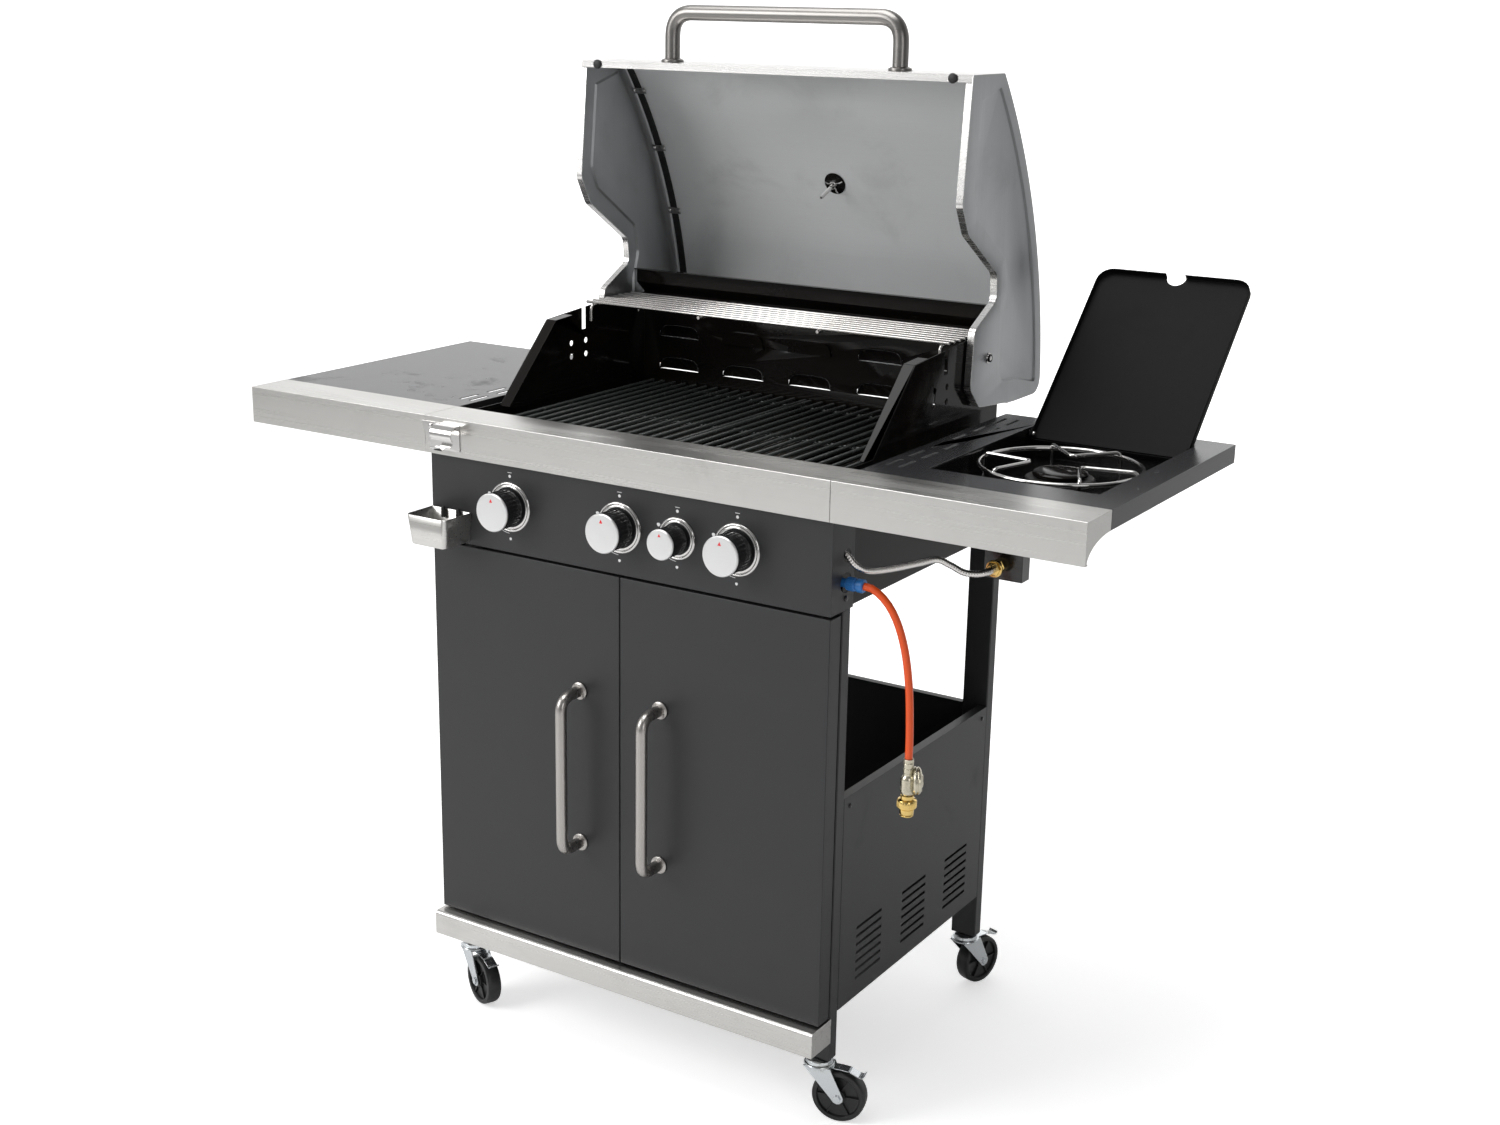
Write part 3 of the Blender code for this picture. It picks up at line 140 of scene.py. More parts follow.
def add_tube(bm, points, radius, sides=24, number=0, loop=False):
    """A round bar along points. The radius may be one number or one for each point."""
    points = [Vector(p) for p in points]
    count, side, rings = len(points), None, []
    for i, point in enumerate(points):
        before = points[i - 1] if i or loop else point
        after = points[(i + 1) % count] if i < count - 1 or loop else point
        run = (after - before).normalized()
        side = run.orthogonal().normalized() if side is None else (side - run * side.dot(run)).normalized()
        up, r = run.cross(side), radius[i] if isinstance(radius, list) else radius
        rings.append([bm.verts.new(point + r * (math.cos(a) * side + math.sin(a) * up))
                      for a in (math.tau * k / sides for k in range(sides))])
    pairs = list(zip(rings, rings[1:]))
    if loop:
        shift = min(range(sides), key=lambda k: (rings[0][k].co - rings[-1][0].co).length)
        pairs.append((rings[-1], rings[0][shift:] + rings[0][:shift]))
    else:
        face_up(bm, rings[0], number)
        face_up(bm, rings[-1], number)
    for near, far in pairs:
        for k in range(sides):
            j = (k + 1) % sides
            face_up(bm, (near[k], near[j], far[j], far[k]), number)


def add_prism(bm, outline, axis, low, high, number=0):
    place = {"x": lambda a, b, c: (c, a, b), "y": lambda a, b, c: (a, c, b), "z": lambda a, b, c: (a, b, c)}[axis]
    rings = [[bm.verts.new(place(a, b, c)) for a, b in outline] for c in (low, high)]
    for ring in rings:
        face_up(bm, ring, number)
    for i in range(len(outline)):
        j = (i + 1) % len(outline)
        face_up(bm, (rings[0][i], rings[0][j], rings[1][j], rings[1][i]), number)


def add_box(bm, low, high, number=0):
    (x0, y0, z0), (x1, y1, z1) = low, high
    add_prism(bm, [(x0, y0), (x1, y0), (x1, y1), (x0, y1)], "z", z0, z1, number)


def bend(points, radius, steps=8):
    """A path whose corners are rounded to this radius."""
    points = [Vector(p) for p in points]
    made = [points[0]]
    for before, corner, after in zip(points, points[1:], points[2:]):
        back, on = (before - corner).normalized(), (after - corner).normalized()
        reach = min(radius / math.tan(back.angle(on) / 2), 0.49 * (before - corner).length,
                    0.49 * (after - corner).length)
        start, end = corner + back * reach, corner + on * reach
        for i in range(steps + 1):
            t = i / steps
            made.append(start * (1 - t) ** 2 + corner * 2 * t * (1 - t) + end * t * t)
    return made + [points[-1]]


def mm(*pairs):
    """Pairs of millimetres as pairs of metres."""
    return [(round(a * 0.001, 7), round(b * 0.001, 7)) for a, b in pairs]


def around(count, offset=0.0):
    """Angles at an even step round a circle."""
    return [math.tau * (k + offset) / count for k in range(count)]


def arc(centre, radius, start, end, steps):
    angles = [math.radians(start + (end - start) * i / steps) for i in range(steps + 1)]
    return [(centre[0] + radius * math.cos(a), centre[1] + radius * math.sin(a)) for a in angles]


print("shape helpers ready")

# %% [markdown]
# A finished piece sits at the origin with its place in its mesh. Its normals point outwards, its round
# sides are smooth, and it rides on one body of the frame.

# %% Finish a piece
def shade(mesh, angle=35):
    mesh.shade_smooth()
    mesh.set_sharp_from_angle(angle=math.radians(angle))


def place_piece(name, mesh, finishes, body, stands_for=()):
    mesh.name = name
    if not mesh.materials:
        for one in finishes:
            mesh.materials.append(one)
    made = new_object(name, mesh)
    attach(made, body)
    if stands_for:
        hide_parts(*stands_for)
    return made


def finish_piece(name, bm, finishes, body, stands_for=(), bevel=0.0, segments=2, angle=35):
    bmesh.ops.recalc_face_normals(bm, faces=bm.faces)
    mesh = new_mesh(name, bm)
    for one in finishes:
        mesh.materials.append(one)
    shade(mesh, angle)
    if bevel:
        mesh = softened(mesh, bevel, segments)
    return place_piece(name, mesh, finishes, body, stands_for)


def softened(mesh, width, segments=2):
    """The mesh with a small rounding on every edge that is a real fold or corner."""
    holder = new_object("holder", mesh)
    rounding = holder.modifiers.new("fold", "BEVEL")
    rounding.width = width
    rounding.segments = segments
    rounding.limit_method = "ANGLE"
    rounding.angle_limit = math.radians(40)
    rounding.use_clamp_overlap = False
    rounding.miter_outer = "MITER_ARC"
    level = holder.modifiers.new("flat faces stay flat", "WEIGHTED_NORMAL")
    level.keep_sharp = True
    made = worked_out(holder)
    bpy.data.objects.remove(holder)
    return made


print("pieces can be placed")

# %% [markdown]
# ## Shader groups
# Brushing, powder grain and handling marks are used by many finishes, so each is a group that is built once.
# A group only gives out masks and heights. The shader itself stays in each material.

# %% Group helper
def new_group(name, inputs, outputs):
    tree = bpy.data.node_groups.new(name, "ShaderNodeTree")
    for label, kind, value in inputs:
        socket = tree.interface.new_socket(label, in_out="INPUT", socket_type=kind)
        if value is not None:
            socket.default_value = value
    for label in outputs:
        tree.interface.new_socket(label, in_out="OUTPUT", socket_type="NodeSocketFloat")
    return tree, tree.nodes.new("NodeGroupInput"), tree.nodes.new("NodeGroupOutput")


def add_node(tree, kind, settings=None, **values):
    node = tree.nodes.new(kind)
    for label, value in (settings or {}).items():
        setattr(node, label, value)
    for label, value in values.items():
        socket = node.inputs[label.replace("_", " ")]
        if isinstance(value, bpy.types.NodeSocket):
            tree.links.new(value, socket)
        else:
            socket.default_value = value
    return node


print("group helper ready")

# %% Brushing, powder grain, handling marks
brushing, enter, leave = new_group(
    "brushing", [("Vector", "NodeSocketVector", None), ("Stretch", "NodeSocketVector", (4.0, 600.0, 600.0))],
    ["Lines", "Streaks"])
stretched = add_node(brushing, "ShaderNodeVectorMath", {"operation": "MULTIPLY"})
brushing.links.new(enter.outputs["Vector"], stretched.inputs[0])
brushing.links.new(enter.outputs["Stretch"], stretched.inputs[1])
fine = add_node(brushing, "ShaderNodeTexNoise", Vector=stretched.outputs[0], Scale=1.0, Detail=4.0,
                Roughness=0.75)
broad = add_node(brushing, "ShaderNodeTexNoise", Vector=stretched.outputs[0], Scale=0.12, Detail=3.0,
                 Roughness=0.6)
brushing.links.new(fine.outputs[0], leave.inputs["Lines"])
brushing.links.new(broad.outputs[0], leave.inputs["Streaks"])

powder, enter, leave = new_group(
    "powder_grain", [("Vector", "NodeSocketVector", None), ("Scale", "NodeSocketFloat", 900.0)], ["Height"])
cells = add_node(powder, "ShaderNodeTexVoronoi", {"feature": "SMOOTH_F1"}, Vector=enter.outputs["Vector"],
                 Scale=enter.outputs["Scale"])
waves = add_node(powder, "ShaderNodeTexNoise", Vector=enter.outputs["Vector"], Scale=420.0, Detail=2.0)
both = add_node(powder, "ShaderNodeMath", {"operation": "ADD"})
powder.links.new(cells.outputs["Distance"], both.inputs[0])
powder.links.new(waves.outputs[0], both.inputs[1])
powder.links.new(both.outputs[0], leave.inputs["Height"])

marks, enter, leave = new_group(
    "handling_marks", [("Vector", "NodeSocketVector", None), ("Scale", "NodeSocketFloat", 7.0),
                       ("Cover", "NodeSocketFloat", 0.5)], ["Mask"])
cloud = add_node(marks, "ShaderNodeTexNoise", Vector=enter.outputs["Vector"], Scale=enter.outputs["Scale"],
                 Detail=6.0, Roughness=0.62, Distortion=0.6)
mask = add_node(marks, "ShaderNodeMapRange", {"interpolation_type": "SMOOTHSTEP"}, Value=cloud.outputs[0],
                From_Min=enter.outputs["Cover"], From_Max=0.78, To_Min=0.0, To_Max=1.0)
marks.links.new(mask.outputs[0], leave.inputs["Mask"])
print("groups:", [g.name for g in bpy.data.node_groups])

# %% [markdown]
# ## Finishes
# Every finish starts from a colour, a gloss and either brushing or powder grain. Marks from hands and use
# change its colour and gloss a little, because no real sheet is the same all over.

# %% The finish maker
def mix_colour(tree, share, first, second):
    node = tree.nodes.new("ShaderNodeMix")
    node.data_type = "RGBA"
    tree.links.new(share, node.inputs[0])
    for index, value in ((6, first), (7, second)):
        if isinstance(value, bpy.types.NodeSocket):
            tree.links.new(value, node.inputs[index])
        else:
            node.inputs[index].default_value = (*value, 1)
    return node.outputs[2]


def make_finish(name, colour, gloss, metallic=0.0, worn=None, wear=0.5, scale=7.0, lines=None, grain=None,
                depth=0.00002, spread=0.08, coat=0.0, lean=0.0, contrast=0.0, shine_level=0.5):
    """A finish. gloss is roughness, lines stretches the brushing, grain is the powder's fineness."""
    made = bpy.data.materials.new(name)
    made.use_nodes = True
    tree = made.node_tree
    shader = tree.nodes["Principled BSDF"]
    spot = tree.nodes.new("ShaderNodeTexCoord").outputs["Object"]
    used = add_node(tree, "ShaderNodeGroup", {"node_tree": marks}, Vector=spot, Scale=scale, Cover=wear)
    worn = worn or tuple(c * 0.86 for c in colour)
    tone = mix_colour(tree, used.outputs["Mask"], colour, worn)
    if lines:
        brushed = add_node(tree, "ShaderNodeGroup", {"node_tree": brushing}, Vector=spot, Stretch=lines)
        height, shine = brushed.outputs["Lines"], brushed.outputs["Streaks"]
        darker = add_node(tree, "ShaderNodeMapRange", Value=height, From_Min=0.3, From_Max=0.7, To_Min=0.0,
                          To_Max=contrast)
        tone = mix_colour(tree, darker.outputs[0], tone, tuple(c * 0.55 for c in colour))
    else:
        rough = add_node(tree, "ShaderNodeGroup", {"node_tree": powder}, Vector=spot, Scale=grain or 900.0)
        height, shine = rough.outputs["Height"], used.outputs["Mask"]
    tree.links.new(tone, shader.inputs["Base Color"])
    dull = add_node(tree, "ShaderNodeMapRange", Value=shine, From_Min=0.25, From_Max=0.75, To_Min=gloss - spread,
                    To_Max=gloss + spread)
    tree.links.new(dull.outputs[0], shader.inputs["Roughness"])
    bump = add_node(tree, "ShaderNodeBump", Strength=0.6, Distance=depth, Height=height)
    tree.links.new(bump.outputs[0], shader.inputs["Normal"])
    shader.inputs["Metallic"].default_value = metallic
    shader.inputs["Specular IOR Level"].default_value = shine_level
    shader.inputs["Coat Weight"].default_value = coat
    shader.inputs["Coat Roughness"].default_value = 0.08
    shader.inputs["Anisotropic"].default_value = lean
    return made


along_x, along_y, along_z = (9.0, 2600.0, 2600.0), (2600.0, 9.0, 2600.0), (2600.0, 2600.0, 9.0)
print("finish maker ready")

# %% Metals
trim_steel = make_finish("trim_steel", (0.66, 0.65, 0.63), 0.30, 1.0, lines=along_x, spread=0.05, lean=0.4,
                         contrast=0.10)
hood_steel = make_finish("hood_steel", (0.90, 0.91, 0.915), 0.56, 0.52, lines=along_x, spread=0.05, lean=0.3,
                         contrast=0.10)
side_steel = make_finish("side_steel", (0.44, 0.45, 0.46), 0.38, 0.92, lines=along_z, spread=0.06, lean=0.3,
                         contrast=0.16)
edge_steel = make_finish("edge_steel", (0.72, 0.71, 0.70), 0.26, 1.0, lines=along_x, spread=0.05, contrast=0.08)
tube_steel = make_finish("tube_steel", (0.46, 0.44, 0.42), 0.30, 1.0, lines=along_z, spread=0.07, contrast=0.18)
bar_steel = make_finish("bar_steel", (0.26, 0.25, 0.24), 0.32, 1.0, lines=along_x, spread=0.07, contrast=0.18)
bright_steel = make_finish("bright_steel", (0.66, 0.65, 0.64), 0.16, 1.0, grain=1500.0, depth=0.000004,
                           spread=0.05)
rack_steel = make_finish("rack_steel", (0.62, 0.60, 0.58), 0.32, 1.0, (0.50, 0.46, 0.43), 0.55, 30.0,
                         grain=1200.0, depth=0.00001)
pipe_steel = make_finish("pipe_steel", (0.74, 0.72, 0.70), 0.24, 1.0, (0.66, 0.62, 0.58), 0.55, 30.0,
                         grain=1200.0, depth=0.00001)
burner_steel = make_finish("burner_steel", (0.45, 0.43, 0.41), 0.36, 1.0, (0.28, 0.20, 0.16), 0.48, 14.0,
                           lines=along_y)
zinc_plate = make_finish("zinc_plate", (0.70, 0.73, 0.75), 0.28, 1.0, (0.60, 0.62, 0.60), 0.5, 26.0, grain=1400.0,
                         depth=0.00001)
cast_zinc = make_finish("cast_zinc", (0.62, 0.58, 0.46), 0.34, 1.0, (0.45, 0.42, 0.34), 0.5, 60.0, grain=1600.0,
                        depth=0.00004)
brass = make_finish("turned_brass", (0.78, 0.56, 0.20), 0.22, 1.0, (0.50, 0.33, 0.11), 0.52, 55.0, grain=2000.0,
                    depth=0.00001)
face_steel = make_finish("knob_face", (0.76, 0.76, 0.76), 0.36, 0.80, lines=along_x, spread=0.04, contrast=0.05,
                         depth=0.000006)
print("metals:", len([m for m in bpy.data.materials if m.name.endswith(("steel", "plate", "zinc", "brass"))]))

# %% Coatings, enamel, plastic and rubber
powder_coat = make_finish("anthracite_powder", (0.021, 0.021, 0.0225), 0.48, worn=(0.024, 0.024, 0.0255),
                          grain=1000.0, depth=0.00006, spread=0.04)
shelf_coat = make_finish("shelf_powder", (0.024, 0.024, 0.026), 0.32, worn=(0.030, 0.030, 0.032), grain=1000.0,
                         depth=0.00004)
enamel = make_finish("firebox_enamel", (0.0060, 0.0050, 0.0045), 0.16, worn=(0.009, 0.007, 0.005), grain=260.0,
                     depth=0.00004, spread=0.05, coat=0.05, shine_level=0.15)
pan_enamel = make_finish("pan_enamel", (0.0070, 0.0068, 0.0068), 0.24, worn=(0.011, 0.010, 0.009), grain=300.0,
                         depth=0.00006, coat=0.3)
lid_coat = make_finish("side_lid_coat", (0.0065, 0.0063, 0.0065), 0.60, worn=(0.0080, 0.0078, 0.0080),
                       grain=800.0, depth=0.00008, spread=0.02, shine_level=0.10)
iron = make_finish("grate_enamel", (0.046, 0.052, 0.049), 0.26, worn=(0.060, 0.064, 0.060), grain=700.0,
                   depth=0.00014, scale=40.0, coat=0.4)
heat_iron = make_finish("heat_shield_enamel", (0.016, 0.015, 0.014), 0.42, worn=(0.05, 0.035, 0.025), grain=500.0,
                        depth=0.00010, scale=18.0)
wheel_black = make_finish("wheel_plastic", (0.013, 0.013, 0.0135), 0.40, worn=(0.03, 0.03, 0.03), grain=700.0,
                          depth=0.00005, scale=40.0)
knob_black = make_finish("knob_plastic", (0.012, 0.012, 0.013), 0.30, grain=1600.0, depth=0.00001, coat=0.2)
rubber_black = make_finish("black_rubber", (0.010, 0.010, 0.010), 0.60, grain=1200.0, depth=0.00004)
hose_orange = make_finish("orange_hose", (0.84, 0.095, 0.012), 0.44, worn=(0.74, 0.080, 0.011), scale=30.0,
                          grain=1500.0, depth=0.00002)
blue_plastic = make_finish("blue_coupling", (0.035, 0.20, 0.56), 0.36, grain=1500.0, depth=0.00002, scale=60.0)
print_white = make_finish("printed_white", (0.80, 0.80, 0.80), 0.5, grain=1500.0, depth=0.000004)
print_red = make_finish("printed_red", (0.78, 0.02, 0.03), 0.45, grain=1500.0, depth=0.000004)
dial_white = make_finish("dial_white", (0.78, 0.78, 0.76), 0.4, grain=1500.0, depth=0.000004)
print("finishes:", len(bpy.data.materials))

# %% [markdown]
# ## The gas hose
# A hose is a fixed length of something bendy. It leaves the coupling level, then its own weight and the
# regulator pull it straight down, so one smooth curve through a few listed points is all it needs.

# %% Gas hose
def smooth_route(points, spacing):
    points = [Vector(p) for p in points]
    padded = [2 * points[0] - points[1], *points, 2 * points[-1] - points[-2]]
    fine = []
    for a, b, c, d in zip(padded, padded[1:], padded[2:], padded[3:]):
        for i in range(16):
            t = i / 16
            fine.append(0.5 * (2 * b + (c - a) * t + (2 * a - 5 * b + 4 * c - d) * t**2
                               + (3 * b - a - 3 * c + d) * t**3))
    fine.append(points[-1])
    lengths = [0.0]
    for a, b in zip(fine, fine[1:]):
        lengths.append(lengths[-1] + (b - a).length)
    count, made, k = max(2, round(lengths[-1] / spacing)), [], 0
    for i in range(count + 1):
        goal = lengths[-1] * i / count
        while k < len(fine) - 2 and lengths[k + 1] < goal:
            k += 1
        made.append(fine[k].lerp(fine[k + 1], min(1.0, (goal - lengths[k]) / (lengths[k + 1] - lengths[k]))))
    return made, lengths[-1]


hose_x, hose_y, hose_z, crimp_z = 0.3510, front_y + 0.047, 0.7655, 0.552
falls = [(0, 0), (0.009, 0.0003), (0.020, 0.0055), (0.032, 0.0150), (0.0425, 0.0285), (0.0510, 0.0450),
         (0.0575, 0.0635), (0.0625, 0.0835), (0.0660, 0.1040), (0.0685, 0.1250), (0.0700, 0.1460),
         (0.0710, 0.1660), (0.0716, 0.1850), (0.0718, 0.2000), (0.0718, hose_z - crimp_z - 0.0003)]
route, hose_length = smooth_route([(hose_x + a, hose_y, hose_z - b) for a, b in falls], 0.010)
curve = bpy.data.curves.new("bottle_hose", "CURVE")
curve.dimensions = "3D"
curve.bevel_depth = 0.005
curve.bevel_resolution = 6
curve.use_fill_caps = True
curve.resolution_u = 4
spline = curve.splines.new("POLY")
spline.points.add(len(route) - 1)
for spot, point in zip(spline.points, route):
    spot.co = (*point, 1.0)
spline.use_smooth = True
curve.materials.append(hose_orange)
hose = new_object("bottle_hose", curve)
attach(hose, "frame")
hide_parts("gas_hose")
print("hose", round(hose_length, 4), "m long,", len(route), "points")

# %% [markdown]
# The coupling, regulator and bottle nut are turned parts. Each is a lathe profile, with ribs or flats where
# a hand or a spanner grips it.

# %% Coupling, regulator and bottle nut
bm = bmesh.new()
ribs = mm((8.6, 15), (8.8, 15.6), (8.8, 22.6), (8.2, 23.8))
add_turned(bm, mm((0, 0), (7.8, 0), (8.4, 0.8), (8.4, 11.8), (7.8, 12.4), (7, 12.8), (7, 14.6))
           + ribs + [(0.0060, 0.0240), (0, 0.0240)], (0.3267, hose_y, hose_z), (1, 0, 0), 40)
for a in around(20):
    y, z = hose_y + 0.00835 * math.cos(a), hose_z + 0.00835 * math.sin(a)
    add_tube(bm, [(0.3282, y, z), (0.3380, y, z)], 0.00055, 6)
add_turned(bm, mm((0, 0), (6, 0), (6, 24), (0, 24)), (0.3046, hose_y, hose_z), (1, 0, 0), 24)
coupling = finish_piece("hose_coupling", bm, [blue_plastic], "frame", ["hose_connector"],
                        bevel=0.0003)

bm = bmesh.new()
rx = route[-1].x
foot = 0.503
add_turned(bm, mm((0, 0), (7.2, 0), (9.2, 4), (9.5, 6), (9.5, 21), (8, 24.5), (6.2, 27), (6.2, 30), (6.7, 30.5),
                  (6.7, 35.5), (6, 36.2), (6.7, 37), (6.7, 43), (6, 43.7), (6.7, 44.5), (6.6, 48.8), (5.2, 49),
                  (0, 49)),
           (rx, hose_y, foot), (0, 0, 1), 40)
aside = Vector((0.84, 0.54, 0))
centre = Vector((rx, hose_y, foot + 0.019))
add_turned(bm, mm((0, 0), (6, 0), (6, 4.8), (16.5, 6.2), (18.2, 8), (18.2, 9.8), (17.2, 10.4), (17.2, 11.6),
                  (18, 12.4), (17.6, 14.6), (15, 16.6), (8.6, 18), (8, 19), (0, 19)), centre, aside, 40)
across = aside.cross(Vector((0, 0, 1))).normalized()
for a in around(4, 0.5):
    spot = centre + aside.normalized() * 0.0135 + across * 0.0130 * math.cos(a) + Vector((0, 0,
                                                                                          0.0130 * math.sin(a)))
    add_turned(bm, mm((0, 0), (1.9, 0), (1.9, 3.2), (1.2, 4), (0, 4)), spot, aside, 12)
regulator = finish_piece("bottle_regulator", bm, [cast_zinc], "frame", ["regulator"], bevel=0.0003)

bm = bmesh.new()
low = foot - 0.0285 - 0.0003
add_turned(bm, mm((5, 1), (6, 0), (8, 0), (8.8, 1), (8.8, 1.8), (8.2, 2.4), (8.8, 3.2), (9.4, 4.4), (9.4, 9.8),
                  (8.8, 10.4), (8.8, 11.2))
           + mm((12.2, 12), (12.4, 12.8), (12.4, 21.6), (11.8, 22.6), (8.6, 23.6), (8.6, 28.4), (5, 28.4)),
           (rx, hose_y, low), (0, 0, 1), 48)
for a in around(24):
    x, y = rx + 0.0121 * math.cos(a), hose_y + 0.0121 * math.sin(a)
    add_tube(bm, [(x, y, low + 0.0130), (x, y, low + 0.0212)], 0.0007, 6)
bottle_nut = finish_piece("bottle_nut", bm, [brass], "frame", ["regulator_nut"])
print("coupling, regulator and nut on the hose")

# %% [markdown]
# ## Floor and light
# A pale floor that curves up behind the grill, one large soft box from the left, a weaker one from the right,
# and a bright sky all round, so that the steel has something pale to mirror.

# %% Floor, sky and lamps
bm = bmesh.new()
sweep = [(-9.0, 0.0), (3.2, 0.0), *arc((3.2, 2.4), 2.4, -90, 0, 12)[1:], (5.6, 9.0)]
rows = [[bm.verts.new((x, y, z - 0.0002)) for y, z in sweep] for x in (-20.0, 20.0)]
for k in range(len(sweep) - 1):
    bm.faces.new((rows[0][k], rows[1][k], rows[1][k + 1], rows[0][k + 1]))
mesh = new_mesh("backdrop", bm)
mesh.shade_smooth()
backdrop = new_object("backdrop", mesh)
paper = bpy.data.materials.new("paper")
paper.use_nodes = True
shader = paper.node_tree.nodes["Principled BSDF"]
shader.inputs["Base Color"].default_value = (0.90, 0.90, 0.90, 1)
shader.inputs["Roughness"].default_value = 0.9
shader.inputs["Emission Color"].default_value = (1, 1, 1, 1)
where = add_node(paper.node_tree, "ShaderNodeTexCoord")
place = add_node(paper.node_tree, "ShaderNodeSeparateXYZ", Vector=where.outputs["Object"])
fade = add_node(paper.node_tree, "ShaderNodeMapRange", Value=place.outputs["X"], From_Min=0.6, From_Max=1.5,
                To_Min=0.0, To_Max=0.0)
seen = add_node(paper.node_tree, "ShaderNodeLightPath")
glow = add_node(paper.node_tree, "ShaderNodeMapRange", Value=seen.outputs["Is Camera Ray"],
                To_Min=fade.outputs[0], To_Max=0.55)
paper.node_tree.links.new(glow.outputs[0], shader.inputs["Emission Strength"])
mesh.materials.append(paper)
lit_paper = paper.copy()
lit_paper.name = "lit_paper"
lit_paper.node_tree.nodes[fade.name].inputs["To Min"].default_value = 0.60
lit_paper.node_tree.nodes[fade.name].inputs["To Max"].default_value = 0.03
lit_paper.node_tree.nodes[glow.name].inputs["To Max"].default_value = 1.0
mesh.materials.append(lit_paper)
for face in mesh.polygons:
    face.material_index = 1 if face.center.y > 3.2 else 0


def soft_box(name, place, target, size, power):
    lamp = bpy.data.lights.new(name, "AREA")
    lamp.shape = "RECTANGLE"
    lamp.size, lamp.size_y = size
    lamp.energy = power
    made = new_object(name, lamp)
    look = (Vector(target) - Vector(place)).to_track_quat("-Z", "Y").to_matrix().to_4x4()
    made.matrix_world = Matrix.Translation(place) @ look


soft_box("key", (-2.4, -3.0, 2.6), (0, 0, 0.8), (2.2, 2.2), 85)
soft_box("fill", (3.4, -2.4, 1.6), (0.2, 0, 0.7), (1.4, 2.0), 16)
soft_box("top", (-0.4, -0.4, 3.6), (0, 0.1, 0.8), (2.4, 1.8), 60)
sky = bpy.data.worlds.new("sky")
bpy.context.scene.world = sky
sky.use_nodes = True
sky.node_tree.nodes["Background"].inputs["Color"].default_value = (1.0, 1.0, 1.0, 1)
where = add_node(sky.node_tree, "ShaderNodeTexCoord")
across = add_node(sky.node_tree, "ShaderNodeSeparateXYZ", Vector=where.outputs["Generated"])
share = add_node(sky.node_tree, "ShaderNodeMapRange", Value=across.outputs["X"], From_Min=-0.5, From_Max=0.7,
                 To_Min=0.55, To_Max=0.14)
sky.node_tree.links.new(share.outputs[0], sky.node_tree.nodes["Background"].inputs["Strength"])
bpy.context.scene.view_settings.view_transform = "Standard"
print("stage set")

# %% [markdown]
# ## Sheet metal with real folds
# A press brake leaves a small round at every fold, and that round is what catches the light. A copy of each
# sheet is merged, its flat faces are joined, and its edges are rounded. The plain sheet stays in place, hidden.
# The plain sheet keeps its place in the physics.

# %% Dress the sheets
def dress(node, body, finish, fold=0.0006, segments=2):
    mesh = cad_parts[node].data.copy()
    bm = bmesh.new()
    bm.from_mesh(mesh)
    bmesh.ops.remove_doubles(bm, verts=bm.verts, dist=0.00001)
    bmesh.ops.dissolve_limit(bm, angle_limit=math.radians(1.0), verts=bm.verts, edges=bm.edges)
    bm.to_mesh(mesh)
    bm.free()
    mesh.materials.clear()
    mesh.materials.append(finish)
    shade(mesh, 40)
    if fold:
        mesh = softened(mesh, fold, segments)
    return place_piece(node + "_sheet", mesh, [finish], body, [node])


sheets = [("center_trim", trim_steel, "brushed_steel", 0.0005),
          ("left_trim", trim_steel, "brushed_steel", 0.0005), ("right_trim", trim_steel, "brushed_steel", 0.0005),
          ("bottom_trim", trim_steel, "brushed_steel", 0.0005),
          ("control_panel", powder_coat, "powder_coat", 0.0005),
          ("side_panel_left", powder_coat, "powder_coat", 0.0004),
          ("side_panel_right", powder_coat, "powder_coat", 0.0004),
          ("rear_panel", powder_coat, "powder_coat", 0.0005),
          ("bottom_shelf", powder_coat, "powder_coat", 0.0005), ("left_shelf", shelf_coat, "powder_coat", 0.0005),
          ("right_shelf", shelf_coat, "powder_coat", 0.0005), ("side_burner_pan", pan_enamel, "enamel", 0.0005),
          ("firebox", enamel, "enamel", 0.0005)]
for post in ("front_post_left", "front_post_right", "rear_post_left", "rear_post_right"):
    sheets.append((post, powder_coat, "powder_coat", 0.0014))
for k in (1, 2, 3):
    sheets.append((f"flame_tamer_{k}", heat_iron, "iron", 0.0004))
for node, finish, slot, fold in sheets:
    dress(node, "frame", finish, fold)
dress("door_left", "left_door", powder_coat, 0.0010)
dress("door_right", "right_door", powder_coat, 0.0010)
dress("grease_tray", "tray", cast_zinc, 0.0004)
dress("side_burner_lid", "side_lid", lid_coat, 0.0008)
dress("bottle_opener", "frame", bright_steel, 0)
print(len(sheets) + 5, "sheets dressed")

# %% Cap catcher
low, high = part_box("cap_catcher")
bm = bmesh.new()
cup_rings = []
for z, inset in ((low.z, 0.0016), (low.z + 0.0005, 0.0005), (low.z + 0.0016, 0.0), (high.z - 0.0004, 0.0),
                 (high.z, 0.0004), (high.z, 0.0009), (high.z - 0.0004, 0.0013), (low.z + 0.0030, 0.0013),
                 (low.z + 0.0017, 0.0018), (low.z + 0.0013, 0.0030)):
    lean_in = 0.004 * (high.z - z) / (high.z - low.z)
    x0, x1, y0, y1 = low.x + inset + lean_in, high.x - inset - lean_in, low.y + inset + lean_in, high.y - inset
    r = 0.0075 - inset * 0.8
    flat = arc((x0 + r, y0 + r), r, 180, 270, 8) + arc((x1 - r, y0 + r), r, 270, 360, 8) + [(x1, y1), (x0, y1)]
    cup_rings.append([bm.verts.new((x, y, z)) for x, y in flat])
face_up(bm, cup_rings[0], 0)
face_up(bm, cup_rings[-1], 0)
for near, far in zip(cup_rings, cup_rings[1:]):
    for i in range(len(near)):
        j = (i + 1) % len(near)
        face_up(bm, (near[i], near[j], far[j], far[i]), 0)
finish_piece("cap_catcher_cup", bm, [trim_steel], "frame", ["cap_catcher"], angle=50)
print("cap catcher pressed")

